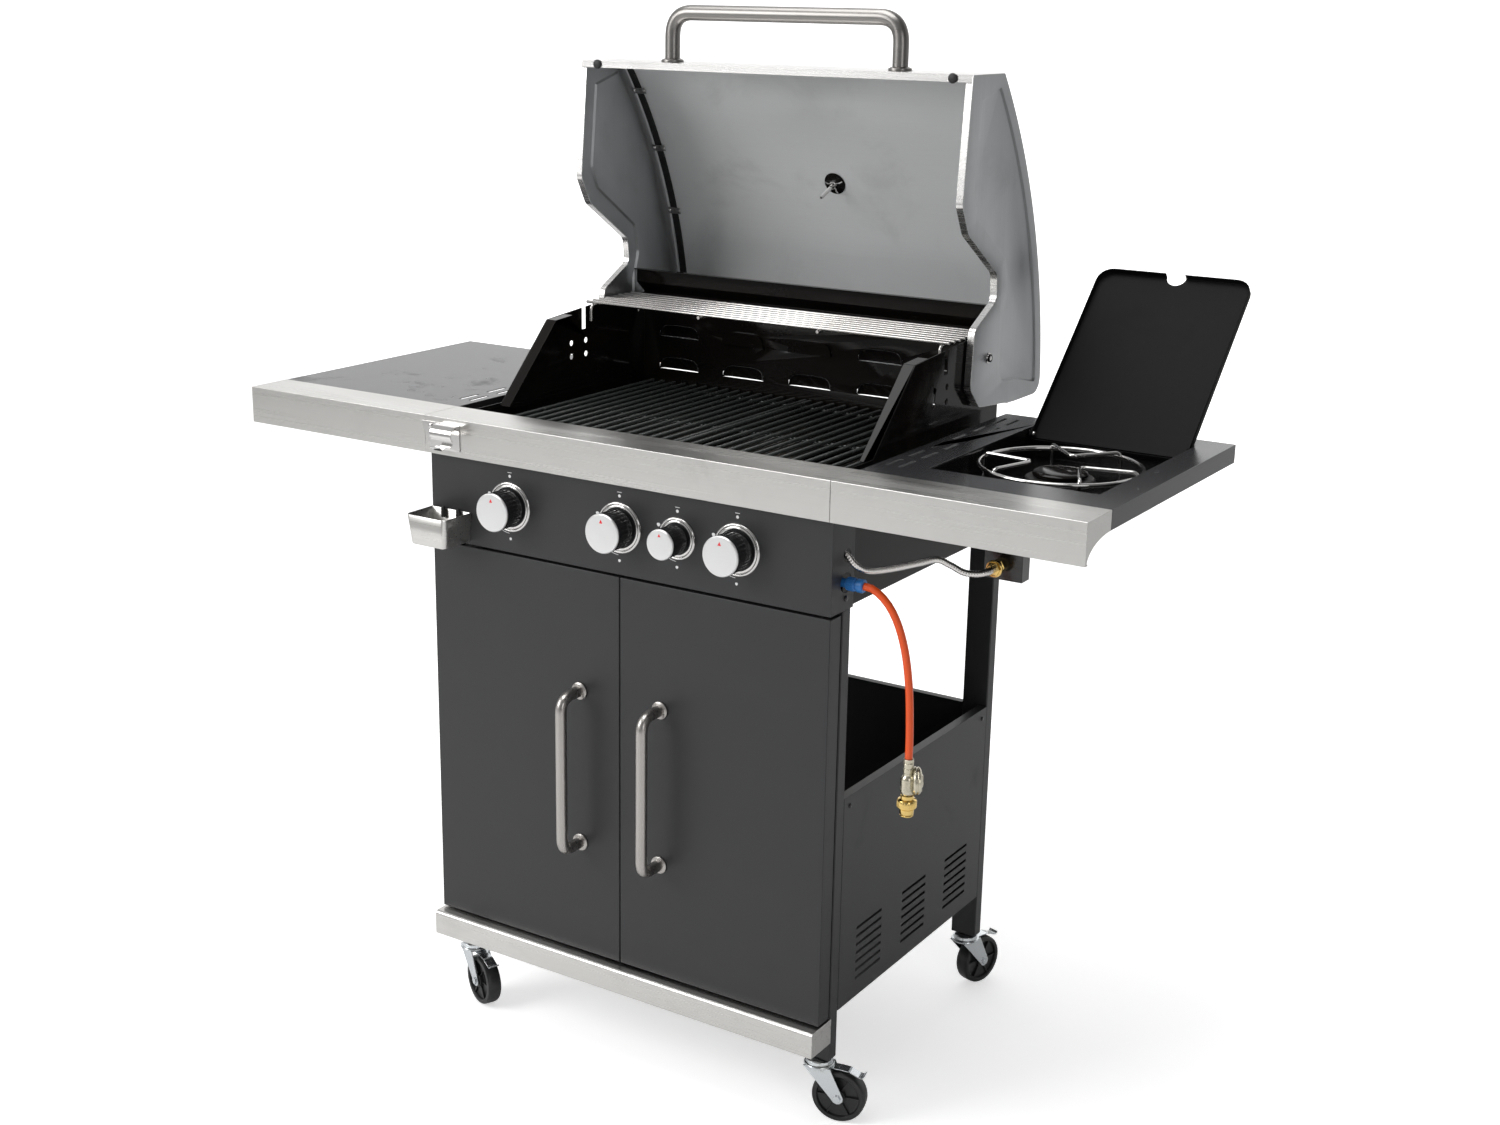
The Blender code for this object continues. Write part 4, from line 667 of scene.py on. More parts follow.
# %% Hidden gas parts
for k in (1, 2, 3):
    dress(f"burner_{k}", "frame", burner_steel, 0.0006)
dress("gas_manifold", "frame", cast_zinc, 0.0006)
print("burners and manifold dressed")

# %% [markdown]
# ## The lid's shape
# The lid is drawn shut, round its hinge, because that is how its sizes are known. One function then leans
# each point back to where the open lid holds it.

# %% Lid outline
def open_point(x, y, z):
    """A point of the shut lid, measured from the hinge, in its open place."""
    return Vector((x, hinge_y + z, hinge_z - y))


lid_face, lip_z, brow_z, crown_y, crown_z, nape_y = -0.384, -0.088, 0.008, 0.050, 0.180, 0.076
run_y, run_z = crown_y - lid_face, crown_z - brow_z
chord, tilt, bow = math.hypot(run_y, run_z), math.atan2(run_z, run_y), math.radians(18)
brow_radius, reach = chord / (2 * math.sin(bow)), chord / (2 * math.tan(bow))
brow_centre = ((lid_face + crown_y) / 2 + reach * math.sin(tilt), (brow_z + crown_z) / 2 - reach * math.cos(tilt))
brow_ends = [math.degrees(math.atan2(z - brow_centre[1], y - brow_centre[0]))
             for y, z in ((lid_face, brow_z), (crown_y, crown_z))]
brow = arc(brow_centre, brow_radius, *brow_ends, 40)
shoulder = arc((nape_y - 0.022, crown_z - 0.022), 0.022, 88, 0, 8)
foot_line = [(lid_face, lip_z), (-0.216, -0.103), (-0.176, -0.081), (-0.115, 0.014), (-0.078, 0.018),
             (-0.044, -0.047), (0.037, -0.053), (0.066, -0.023), (nape_y, 0.090)]
print("brow radius", round(brow_radius, 4), "with", len(brow), "points")


def moved_in(foot, rest, inset, radius):
    """An outline moved inwards, with round corners along the foot. Every inset gives as many points."""
    sharp = foot + rest
    moved = []
    for before, spot, after in zip([sharp[-1], *sharp], sharp, [*sharp[1:], sharp[0]]):
        back, on = (Vector(spot) - Vector(before)).normalized(), (Vector(after) - Vector(spot)).normalized()
        inward = Vector((-back.y - on.y, back.x + on.x)).normalized()
        moved.append(Vector(spot) + inward * (inset / max(0.5, inward.dot(Vector((-back.y, back.x))))))
    eased = bend([(*p, 0) for p in moved[:len(foot)]], radius, 5)
    return [(p[0], p[1]) for p in eased] + [tuple(p) for p in moved[len(foot):]]


def side_outline(inset):
    """The side plate's own outline."""
    return moved_in(foot_line, shoulder[::-1] + brow[::-1], inset, 0.016)


press_line = mm((-350, -58), (-230, -70), (-196, -56), (-132, 40), (-92, 50), (-50, 38), (24, 36), (42, 48),
                (44, 92))


def press_outline(inset):
    """The edge of the panel pressed into the side plate. It leaves a broad flat round the hinge bolt."""
    rim = side_outline(0.0175)[-len(shoulder + brow):]
    return moved_in(press_line, rim, inset, 0.012)


# %% [markdown]
# ## Lid sides
# Each side is one pressed plate. A shallow panel pressed into it stiffens the sheet, and the edge along the
# foot is folded inwards so that no hand meets a raw edge.

# %% Lid sides
def add_side_plate(bm, sign):
    edge_steps = [(0.0, 0.3163), (0.0, 0.3171), (0.0004, 0.3175)]
    press_steps = mm((0, 317.5), (0.8, 317.2), (3, 314.3), (3.8, 314), (4, 312.8), (3, 313.1), (0.6, 316),
                     (-0.2, 316.3))
    rings = [[bm.verts.new(open_point(sign * x, *p)) for p in side_outline(inset)] for inset, x in edge_steps]
    rings += [[bm.verts.new(open_point(sign * x, *p)) for p in press_outline(inset)] for inset, x in press_steps]
    for near, far in list(zip(rings, rings[1:])) + [(rings[-1], rings[0])]:
        if near is rings[6]:
            face_up(bm, near, 0)
            face_up(bm, far, 0)
            continue
        for i in range(len(near)):
            j = (i + 1) % len(near)
            edge = 1 if near is rings[0] or near is rings[1] else 0
            face_up(bm, (near[i], near[j], far[j], far[i]), edge)


def add_strip(bm, path, thickness, axis_points, number=0):
    """A thin folded strip: path in the lid's own y and z, swept between two x positions."""
    lower, upper = [], []
    for k, spot in enumerate(path):
        before, after = path[max(0, k - 1)], path[min(len(path) - 1, k + 1)]
        run = (Vector(after) - Vector(before)).normalized()
        lower.append(Vector(spot))
        upper.append(Vector(spot) + Vector((-run.y, run.x)) * thickness)
    outline = lower + upper[::-1]
    rings = [[bm.verts.new(open_point(x, *p)) for p in outline] for x in axis_points]
    count = len(path)
    for ring in rings:
        for i in range(count - 1):
            face_up(bm, (ring[i], ring[i + 1], ring[-2 - i], ring[-1 - i]), number)
    for i in range(len(outline)):
        j = (i + 1) % len(outline)
        face_up(bm, (rings[0][i], rings[0][j], rings[1][j], rings[1][i]), number)


for side, sign in (("left", -1), ("right", 1)):
    bm = bmesh.new()
    add_side_plate(bm, sign)
    foot = side_outline(0)[:len(bend([(*p, 0) for p in foot_line], 0.016, 5)) - 1]
    start = Vector(foot[0]) + (Vector(foot[1]) - Vector(foot[0])).normalized() * 0.0112
    add_strip(bm, [tuple(start), *foot[1:]], 0.0012, (sign * 0.3075, sign * 0.3164), 1)
    finish_piece(f"lid_side_{side}_pressed", bm, [side_steel, edge_steel], "lid",
                 [f"lid_side_{side}"], angle=28)
print("lid sides pressed")

# %% [markdown]
# ## Hood
# The hood is one long sheet rolled to the brow's curve. Its outer face is plain; inside, small riveted tabs show
# where it meets the side plates, and a black strip under each seam is painted shade for the dark gap there.

# %% Hood, seams and tabs
def along_brow(share, inwards=0.0):
    """Point and outward normal on the brow, share 0 at the front edge and 1 at the crown."""
    angle = math.radians(brow_ends[0] + (brow_ends[1] - brow_ends[0]) * share)
    out = Vector((math.cos(angle), math.sin(angle)))
    return Vector(brow_centre) + out * (brow_radius - inwards), out


bm = bmesh.new()
outer = [(lid_face, lip_z), *brow, *shoulder, (nape_y, 0.072)]
thick = 0.0012
inner = []
for k, spot in enumerate(outer):
    before, after = Vector(outer[max(0, k - 1)]), Vector(outer[min(len(outer) - 1, k + 1)])
    run = (after - before).normalized()
    inner.append(Vector(spot) + Vector((run.y, -run.x)) * thick)
inner[0] = Vector((lid_face + thick, lip_z + thick))
loop = [(lid_face + 0.010, lip_z + thick), (lid_face + 0.010, lip_z), *outer, *[tuple(p) for p in inner[::-1]]]
half = 0.3160
xs = [-half, -0.30, -0.20, -0.10, -0.017, 0.0, 0.017, 0.10, 0.20, 0.30, half]
rings = [[bm.verts.new(open_point(x, *p)) for p in loop] for x in xs]
for near, far in zip(rings, rings[1:]):
    for i in range(len(loop)):
        j = (i + 1) % len(loop)
        edge = 1 if i in (0, 1, 2) else 0
        face_up(bm, (near[i], near[j], far[j], far[i]), edge)
count = len(outer)
for ring in (rings[0], rings[-1]):
    outs, ins = ring[2:2 + count], ring[2 + count:][::-1]
    face_up(bm, (ring[0], ring[1], outs[0], ins[0]), 1)
    for i in range(count - 1):
        face_up(bm, (outs[i], outs[i + 1], ins[i + 1], ins[i]), 1)
finish_piece("lid_hood_sheet", bm, [hood_steel, edge_steel], "lid", ["lid_hood"], angle=30)

# Painted shade: a black strip under each hood-to-side seam stands for the dark gap between the sheets.
bm = bmesh.new()
seam = [tuple(along_brow(k / 40, 0.0030)[0]) for k in range(41)]
for low_x, high_x in ((-0.3112, -0.2995), (0.2995, 0.3112)):
    add_strip(bm, seam, 0.0014, (low_x, high_x))
finish_piece("lid_seam_painted_shade", bm, [rubber_black], "lid")
print("hood rolled, seams filled")

bm = bmesh.new()
for sign in (-1, 1):
    for share in (0.12, 0.34, 0.57):
        path = [tuple(along_brow(share + t, 0.0046)[0]) for t in (-0.011, 0.0, 0.011)]
        add_strip(bm, path, 0.0010, (sign * 0.2930, sign * 0.3150))
        for x in (0.2945, 0.3130):
            spot, out = along_brow(share, 0.0046)
            add_turned(bm, mm((0, 0), (2.6, 0), (2.4, 1.2), (1.4, 2), (0, 2.1)),
                       open_point(sign * x, *spot), (0, -out.y, out.x), 14)
finish_piece("lid_tabs", bm, [bright_steel], "lid")

# %% [markdown]
# ## Handles
# All three handles are bent tubes welded on round flanges. A tube keeps its diameter through a bend, so the
# path is rounded first and the same ring is carried along it.

# %% Handles
bm = bmesh.new()
handle_half, handle_y = 0.186, hinge_y - 0.044
top_z, bar_z = hinge_z - lid_face + 0.0003, hinge_z - lid_face + 0.0693
add_tube(bm, bend([(-handle_half, handle_y, top_z), (-handle_half, handle_y, bar_z),
                   (handle_half, handle_y, bar_z), (handle_half, handle_y, top_z)], 0.042, 16), 0.011, 36)
for sign in (-1, 1):
    add_turned(bm, mm((10.8, 0), (16.3, 0), (16.5, 0.6), (16, 3), (13, 4.4), (11.2, 5), (10.8, 5)),
               (sign * handle_half, handle_y, top_z), (0, 0, 1), 40)
finish_piece("lid_handle_tube", bm, [bar_steel], "lid", ["lid_handle"])
door_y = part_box("door_left")[0].y
wall, foot_z, head_z = door_y - 0.0003, 0.3265, 0.5515
for side, sign in (("left", -1), ("right", 1)):
    bm = bmesh.new()
    x, y = sign * 0.067, door_y - 0.0433
    add_tube(bm, bend([(x, wall, foot_z), (x, y, foot_z), (x, y, head_z), (x, wall, head_z)], 0.028, 16), 0.008,
             32)
    for z in (foot_z, head_z):
        add_turned(bm, mm((7.8, 0), (12.3, 0), (12.5, 0.5), (12.2, 2.2), (9.8, 3.4), (7.8, 3.8)),
                   (x, wall, z), (0, -1, 0), 36)
    finish_piece(f"door_handle_{side}_tube", bm, [tube_steel], f"{side}_door",
                 [f"door_handle_{side}"])
print("three handles bent")

# %% [markdown]
# ## Thermometer
# The dial sits outside on the brow and reads the lid's air through a short probe. Behind it the hood has a
# round hole, with a spring clip that holds the dial on.

# %% Thermometer
spot, out = along_brow(0.4287)
origin, aim = open_point(0, *spot), Vector((0, out.y, -out.x))
bm = bmesh.new()
add_turned(bm, mm((0, 0.6), (26.2, 0.6), (27.5, 3), (27.5, 9.8), (26.2, 11.7), (24.5, 12), (23.8, 11.2),
                  (23.6, 9.2), (0, 9.2)), origin, aim, 64, 0)
add_turned(bm, mm((0, 9.3), (23.4, 9.3), (23.4, 9.6), (0, 9.6)), origin, aim, 64, 1)
up = aim.orthogonal().normalized()
side_way = aim.cross(up)
for k in range(25):
    a = math.radians(-135 + 270 * k / 24)
    ray = up * math.cos(a) + side_way * math.sin(a)
    inner_r = 0.0172 if k % 4 == 0 else 0.0192
    add_tube(bm, [origin + aim * 0.0098 + ray * inner_r, origin + aim * 0.0098 + ray * 0.0212], 0.00028, 6, 2)
ray = up * math.cos(math.radians(-128)) + side_way * math.sin(math.radians(-128))
add_tube(bm, [origin + aim * 0.0103 - ray * 0.005, origin + aim * 0.0103 + ray * 0.0185], [0.0007, 0.0002], 8, 3)
add_turned(bm, mm((0, 9.8), (2.2, 9.8), (1.8, 11), (0, 11.2)), origin, aim, 20, 0)
add_turned(bm, mm((0, 1.8), (17, 1.8), (17.2, 2.4), (15.2, 2.7), (0, 2.7)), origin, -aim, 48, 4)
add_turned(bm, mm((0, 2), (6.2, 2), (6.2, 8), (4.8, 8.6), (4.8, 12.5), (0, 12.5)), origin, -aim, 6, 0)
add_turned(bm, mm((0, 12), (3, 12), (2.9, 44), (1.8, 46.2), (0, 46.5)), origin, -aim, 20, 0)
for turn_by in (0.5, 2.2, 4.1):
    ray = up * math.cos(turn_by) + side_way * math.sin(turn_by)
    add_tube(bm, [origin - aim * 0.0040 + ray * 0.004, origin - aim * 0.0062 + ray * 0.0105,
                  origin - aim * 0.0036 + ray * 0.0150],
             0.0011, 8, 0)
finish_piece("lid_thermometer", bm, [bright_steel, dial_white, rubber_black, print_red, enamel], "lid",
             ["thermometer"])
print("thermometer at", [round(v, 3) for v in origin])

# %% Lid bumpers and hinge bolts
bm = bmesh.new()
for sign in (-1, 1):
    add_turned(bm, mm((0, 0), (6.6, 0), (6.8, 1), (6.2, 2.4), (4.4, 3.3), (0, 3.5)),
               (sign * 0.288, hinge_y + lip_z - 0.00025, hinge_z - lid_face - 0.0052), (0, -1, 0), 28)
finish_piece("lid_bumpers", bm, [rubber_black], "lid")
bm = bmesh.new()
for sign in (-1, 1):
    add_turned(bm, mm((0, 0), (7.4, 0), (7.4, 0.8), (5.8, 1), (5.6, 2.4), (4.2, 3.8), (0, 4.2)),
               (sign * 0.3176, hinge_y, hinge_z), (sign, 0, 0), 32)
finish_piece("lid_hinge_bolts", bm, [bright_steel], "frame")
print("bumpers and hinge bolts set")

# %% [markdown]
# ## Knobs and bezels
# A knob is a black grip with a flat silver face, and a red mark that points at the print on the panel. The
# bright ring behind it is a spun dish, so it shows as a string of bright and dark rings.

# %% Knobs and bezels
def bezel_rim(radius):
    return 0.0355 if radius > 0.025 else 0.0290


for name, (x, radius) in knobs.items():
    body = name.replace("knob", "control")
    base = Vector((x, front_y + 0.0068, knob_z))
    depth = 0.0368
    bm = bmesh.new()
    add_turned(bm, [(0, 0), (radius - 0.0020, 0), (radius - 0.0014, 0.0008), (radius - 0.0009, depth - 0.0042),
                    (radius - 0.0016, depth - 0.0036), (0, depth - 0.0036)], base, (0, -1, 0), 64, 0)
    rib_r = radius - 0.0012
    for a in around(30):
        edge = base + Vector((rib_r * math.cos(a), 0, rib_r * math.sin(a)))
        add_tube(bm, [edge + Vector((0, -0.003, 0)), edge + Vector((0, 0.0052 - depth, 0))], 0.0009, 6, 0)
    add_turned(bm, [(0, depth - 0.0040), (radius - 0.0006, depth - 0.0040), (radius, depth - 0.0032),
                    (radius, depth - 0.0016), (radius - 0.0009, depth - 0.0004), (radius - 0.0022, depth),
                    (0, depth)], base, (0, -1, 0), 64, 1)
    size = 0.0036 if radius > 0.025 else 0.0030
    cx, cz, y = x - 0.02 * radius, knob_z + 0.62 * radius, front_y + 0.0068 - depth
    add_prism(bm, [(cx - size * 0.8, cz - size * 0.7), (cx + size * 0.8, cz - size * 0.7), (cx, cz + size * 0.9)],
              "y", y - 0.0001, y + 0.0002, 2)
    finish_piece(name + "_grip", bm, [knob_black, face_steel, print_red], body, [name],
                 bevel=0.0002, segments=1)
    rim = bezel_rim(radius)
    slope = rim - radius
    bm = bmesh.new()
    add_turned(bm, [(radius + 0.0008, 0), (rim, 0), (rim, 0.0009), (rim - 0.0008, 0.0024), (rim - 0.0024, 0.0036),
                    (rim - 0.0036, 0.0032), (rim - 0.0044, 0.0021), (rim - 0.52 * slope, 0.0018),
                    (rim - 0.62 * slope, 0.0028), (radius + 0.0012, 0.0026), (radius + 0.0008, 0.0012)],
               (x, panel_y - 0.0001, knob_z), (0, -1, 0), 80)
    finish_piece(name + "_bezel", bm, [bright_steel], "frame", angle=60)
print(len(knobs), "knobs and bezels")

# %% [markdown]
# The print on the panel is kept to plain signs: a dot for off above each knob, a small flame beside it for
# high, and a smaller flame below it for low.

# %% Panel print
def add_print(bm, outline):
    add_prism(bm, outline, "y", panel_y - 0.00012, panel_y + 0.00005)


def flame(cx, cz, size):
    return [(cx + 0.42 * size * math.sin(a) * (1 - 0.35 * math.cos(a)),
             cz + size * (0.5 - 0.5 * math.cos(a) - 0.5)
             + 0.18 * size * (a / math.pi - 1) ** 2) for a in (math.tau * (k + 0.5) / 16 for k in range(16))]


bm = bmesh.new()
for name, (x, radius) in knobs.items():
    rim = bezel_rim(radius)
    add_print(bm, arc((x, knob_z + rim + 0.0075), 0.0022, 0, 337.5, 15))
    add_print(bm, [(x - 0.0035, knob_z + rim + 0.0122), (x + 0.0035, knob_z + rim + 0.0122),
                   (x + 0.0035, knob_z + rim + 0.0130), (x - 0.0035, knob_z + rim + 0.0130)])
    add_print(bm, flame(x - rim - 0.0005, knob_z + 0.0135, 0.0060))
    add_print(bm, flame(x, knob_z - rim - 0.0105, 0.0048))
    band = arc((x, knob_z), rim + 0.0020, -150, -93, 14)
    add_print(bm, band + arc((x, knob_z), rim + 0.0026, -93, -150, 14))
finish_piece("panel_print", bm, [print_white], "frame")
print("panel printed")

# %% [markdown]
# ## Copies in rows
# Bars, wires, louvres and screws repeat at an even step. Two small node trees do this: one lays copies on a
# grid, the other in a ring. The result is turned into a plain mesh before it joins the frame.

# %% Row and ring trees
def new_geometry_tree(name, inputs):
    tree = bpy.data.node_groups.new(name, "GeometryNodeTree")
    tree.interface.new_socket("Geometry", in_out="INPUT", socket_type="NodeSocketGeometry")
    for label, kind in inputs:
        tree.interface.new_socket(label, in_out="INPUT", socket_type=kind)
    tree.interface.new_socket("Geometry", in_out="OUTPUT", socket_type="NodeSocketGeometry")
    return tree, tree.nodes.new("NodeGroupInput"), tree.nodes.new("NodeGroupOutput")


def end_tree(tree, enter, geometry, leave):
    real = tree.nodes.new("GeometryNodeRealizeInstances")
    coat = tree.nodes.new("GeometryNodeSetMaterial")
    tree.links.new(geometry, real.inputs[0])
    tree.links.new(real.outputs[0], coat.inputs["Geometry"])
    tree.links.new(enter.outputs["Finish"], coat.inputs["Material"])
    tree.links.new(coat.outputs[0], leave.inputs[0])


grid_tree, enter, leave = new_geometry_tree("grid_of_copies", [
    ("Across", "NodeSocketInt"), ("Across Step", "NodeSocketVector"), ("Along", "NodeSocketInt"),
    ("Along Step", "NodeSocketVector"), ("Start", "NodeSocketVector"), ("Finish", "NodeSocketMaterial")])
spots = None
for count, step in (("Across", "Across Step"), ("Along", "Along Step")):
    line = grid_tree.nodes.new("GeometryNodeMeshLine")
    line.mode = "OFFSET"
    grid_tree.links.new(enter.outputs[count], line.inputs["Count"])
    grid_tree.links.new(enter.outputs[step], line.inputs["Offset"])
    if count == "Across":
        grid_tree.links.new(enter.outputs["Start"], line.inputs["Start Location"])
    lay = grid_tree.nodes.new("GeometryNodeInstanceOnPoints")
    grid_tree.links.new(line.outputs[0], lay.inputs["Points"])
    grid_tree.links.new(spots or enter.outputs["Geometry"], lay.inputs["Instance"])
    spots = lay.outputs[0]
end_tree(grid_tree, enter, spots, leave)

ring_tree, enter, leave = new_geometry_tree("ring_of_copies", [
    ("Count", "NodeSocketInt"), ("Radius", "NodeSocketFloat"), ("Angle Step", "NodeSocketFloat"),
    ("Finish", "NodeSocketMaterial")])
circle = ring_tree.nodes.new("GeometryNodeMeshCircle")
ring_tree.links.new(enter.outputs["Count"], circle.inputs["Vertices"])
ring_tree.links.new(enter.outputs["Radius"], circle.inputs["Radius"])
turned = ring_tree.nodes.new("ShaderNodeMath")
turned.operation = "MULTIPLY"
ring_tree.links.new(ring_tree.nodes.new("GeometryNodeInputIndex").outputs[0], turned.inputs[0])
ring_tree.links.new(enter.outputs["Angle Step"], turned.inputs[1])
spin = ring_tree.nodes.new("ShaderNodeCombineXYZ")
ring_tree.links.new(turned.outputs[0], spin.inputs["Z"])
lay = ring_tree.nodes.new("GeometryNodeInstanceOnPoints")
ring_tree.links.new(circle.outputs[0], lay.inputs["Points"])
ring_tree.links.new(enter.outputs["Geometry"], lay.inputs["Instance"])
ring_tree.links.new(spin.outputs[0], lay.inputs["Rotation"])
end_tree(ring_tree, enter, lay.outputs[0], leave)


def copies(bm, tree, values, angle=40):
    """Copies of the shape in bm as one plain mesh, laid by a node tree with these named values."""
    bmesh.ops.recalc_face_normals(bm, faces=bm.faces)
    mesh = new_mesh("one_copy", bm)
    shade(mesh, angle)
    holder = new_object("holder", mesh)
    modifier = holder.modifiers.new("copies", "NODES")
    modifier.node_group = tree
    named = {item.name: item.identifier for item in tree.interface.items_tree if item.in_out == "INPUT"}
    for label, value in values.items():
        modifier[named[label]] = value
    made = worked_out(holder)
    bpy.data.objects.remove(holder)
    return made


def joined(meshes):
    """Several meshes as one. Their materials are listed once and their faces keep theirs."""
    bm, listed = bmesh.new(), []
    for mesh in meshes:
        numbers = []
        for one in mesh.materials:
            if one not in listed:
                listed.append(one)
            numbers.append(listed.index(one))
        first = len(bm.faces)
        bm.from_mesh(mesh)
        bm.faces.ensure_lookup_table()
        for face in bm.faces[first:]:
            face.material_index = numbers[face.material_index] if numbers else 0
    return new_mesh("joined", bm), listed


def loose(bm, finish, angle=40):
    bmesh.ops.recalc_face_normals(bm, faces=bm.faces)
    mesh = new_mesh("loose", bm)
    shade(mesh, angle)
    mesh.materials.append(finish)
    return mesh


print("row and ring trees ready")

# %% [markdown]
# ## Cooking grates
# Fifteen round bars in each grate lie on three cross bars. The ends of the bars are rounded, as they are
# after enamelling.

# %% Cooking grates
grate_z, bar_r = 0.888, 0.003
for side, sign in (("left", -1), ("right", 1)):
    low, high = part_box(f"cooking_grate_{side}")
    first, last = low.x + bar_r, high.x - bar_r
    bm = bmesh.new()
    length = high.y - low.y
    add_turned(bm, [(0, 0), (0.0016, 0.0003), (0.0027, 0.0013), (bar_r, 0.0030), (bar_r, length - 0.0030),
                    (0.0027, length - 0.0013), (0.0016, length - 0.0003), (0, length)], (0, 0, 0), (0, 1, 0), 16)
    bars = copies(bm, grid_tree, {"Across": 15, "Across Step": ((last - first) / 14, 0.0, 0.0), "Along": 1,
                                  "Along Step": (0.0, 0.0, 0.0), "Start": (first, low.y, grate_z - bar_r),
                                  "Finish": iron})
    bm = bmesh.new()
    for y in (0.108, 0.275, 0.470):
        add_tube(bm, [(low.x + 0.0008, front_y + y, grate_z - 0.0075),
                      (high.x - 0.0008, front_y + y, grate_z - 0.0075)], 0.0024, 14)
    mesh, finishes = joined([bars, loose(bm, iron)])
    place_piece(f"grate_{side}_bars", mesh, finishes, f"{side}_grate", [f"cooking_grate_{side}"])
print("grates laid")

# %% Warming rack
low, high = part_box("warming_rack")
wire, rack_z = 0.00225, high.z - 0.00225
bm = bmesh.new()
add_tube(bm, [(low.x + 0.0004, 0, 0), (low.x + 0.0010, 0, 0), (high.x - 0.0010, 0, 0), (high.x - 0.0004, 0, 0)],
         [0.0018, wire, wire, 0.0018], 14)
wires = copies(bm, grid_tree, {"Across": 1, "Across Step": (0.0, 0.0, 0.0), "Along": 8,
                               "Along Step": (0.0, 0.114 / 7, 0.0), "Start": (0.0, front_y + 0.348, rack_z),
                               "Finish": rack_steel})
bm = bmesh.new()
for x in (-0.2925, -0.100, 0.100, 0.2925):
    under = rack_z - 1.9 * wire
    legs = 0.0235 if abs(x) > 0.2 else 0.0
    path = [(x, front_y + 0.344, under - legs), (x, front_y + 0.344, under), (x, front_y + 0.466, under),
            (x, front_y + 0.466, under - legs)]
    add_tube(bm, bend(path, 0.006, 6) if legs else path[1:3], wire, 14)
mesh, finishes = joined([wires, loose(bm, rack_steel)])
place_piece("rack_wires", mesh, finishes, "rack", ["warming_rack"])
print("rack wires", len(mesh.polygons), "faces")

# %% [markdown]
# ## Louvres
# Each louvre is a slit whose upper lip is pressed outwards, so that air can pass and rain runs off. The sheet
# is opened first, and the pressed hoods are then set behind the openings.

# %% Louvres in the firebox's back
def louvre_height(u):
    return 0.020 * (1 - abs(u) ** 5) ** 0.4


wall_y, louvre_half, columns, rows = front_y + 0.4975, 0.0367, 24, 7
shares = [-math.cos(math.pi * i / columns) for i in range(columns + 1)]
blades = bmesh.new()
for z in (0.909, 0.960):
    for k in range(-2, 3):
        outline = [(k * 0.1185 + louvre_half * u, z - 0.0042 + max(0.0005, louvre_height(u))) for u in shares]
        outline += [(k * 0.1185 + louvre_half, z - 0.0042), (k * 0.1185 - louvre_half, z - 0.0042)]
        add_prism(blades, outline, "y", wall_y - 0.004, wall_y + 0.006)
bmesh.ops.recalc_face_normals(blades, faces=blades.faces)
blade = new_object("blades", new_mesh("blades", blades))
box_sheet = bpy.data.objects["firebox_sheet"]
opening = box_sheet.modifiers.new("louvres", "BOOLEAN")
opening.operation = "DIFFERENCE"
opening.solver = "EXACT"
opening.object = blade
opened = worked_out(box_sheet)
box_sheet.modifiers.clear()
box_sheet.data = opened
bpy.data.objects.remove(blade)

bm = bmesh.new()
for shell in (0.0, 0.0011):
    grid = []
    for u in shares:
        tall, deep = max(0.0006, louvre_height(u)) - shell * 0.6, 0.0072 * (1 - abs(u) ** 5) ** 0.5 - shell
        column = [(louvre_half * u * (1 - shell * 18), max(0.0, deep) * math.sin(v), tall * math.cos(v))
                  for v in (math.pi / 2 * j / rows for j in range(rows + 1))]
        grid.append([bm.verts.new(p) for p in column])
    for near, far in zip(grid, grid[1:]):
        for j in range(rows):
            face_up(bm, (near[j], near[j + 1], far[j + 1], far[j]), 0)
    if shell == 0.0:
        outside = grid
for near, far, near_in, far_in in zip(outside, outside[1:], grid, grid[1:]):
    for j in (0, rows):
        face_up(bm, (near[j], far[j], far_in[j], near_in[j]), 0)
for column, inside in ((outside[0], grid[0]), (outside[-1], grid[-1])):
    for j in range(rows):
        face_up(bm, (column[j], column[j + 1], inside[j + 1], inside[j]), 0)
hoods = copies(bm, grid_tree, {"Across": 5, "Across Step": (0.1185, 0.0, 0.0), "Along": 2,
                               "Along Step": (0.0, 0.0, 0.051), "Start": (-0.237, wall_y + 0.0010, 0.9048),
                               "Finish": enamel}, 60)
place_piece("louvre_hoods", hoods, [enamel], "frame")
print("louvres pressed:", len(hoods.polygons), "faces")

# %% [markdown]
# ## Side burner
# The burner is a cast ring with a row of gas ports under a glossy cap. The pan sits on a wire ring with three
# V-shaped arms.

# %% Side burner head
base_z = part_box("side_burner_head")[0].z
bm = bmesh.new()
add_turned(bm, mm((0, 0.2), (30, 0.2), (33.5, 2), (34.5, 8), (40, 10.8), (45, 12), (46, 13.2), (46, 15),
                  (44.8, 15.8), (44.4, 20), (43, 21.2), (38.5, 21.6), (37, 22.2), (0, 22.2)),
           (burner_x, burner_y, base_z), (0, 0, 1), 72, 0)
add_turned(bm, mm((0, 22.2), (33, 22.2), (35.2, 23.2), (36, 25.2), (35.6, 27.6), (33.5, 29.6), (29, 30.5),
                  (18, 31.2), (0, 31.5)), (burner_x, burner_y, base_z), (0, 0, 1), 72, 1)
finish_piece("burner_head_cast", bm, [heat_iron, enamel], "frame", ["side_burner_head"])
# Painted shade: the gas ports are small black blocks on the ring, standing for the dark holes.
bm = bmesh.new()
add_box(bm, (-0.0010, -0.0009, -0.0022), (0.0008, 0.0009, 0.0022))
ports = copies(bm, ring_tree, {"Count": 52, "Radius": 0.0443, "Angle Step": math.tau / 52,
                               "Finish": rubber_black})
ports.transform(Matrix.Translation((burner_x, burner_y, base_z + 0.0179)))
place_piece("burner_port_painted_shade", ports, [rubber_black], "frame")

bm = bmesh.new()
ring_z, arm_z, wire, ring_r, nose_r, arm_spread = 0.897, 0.903, 0.00255, 0.105, 0.036, math.radians(27)


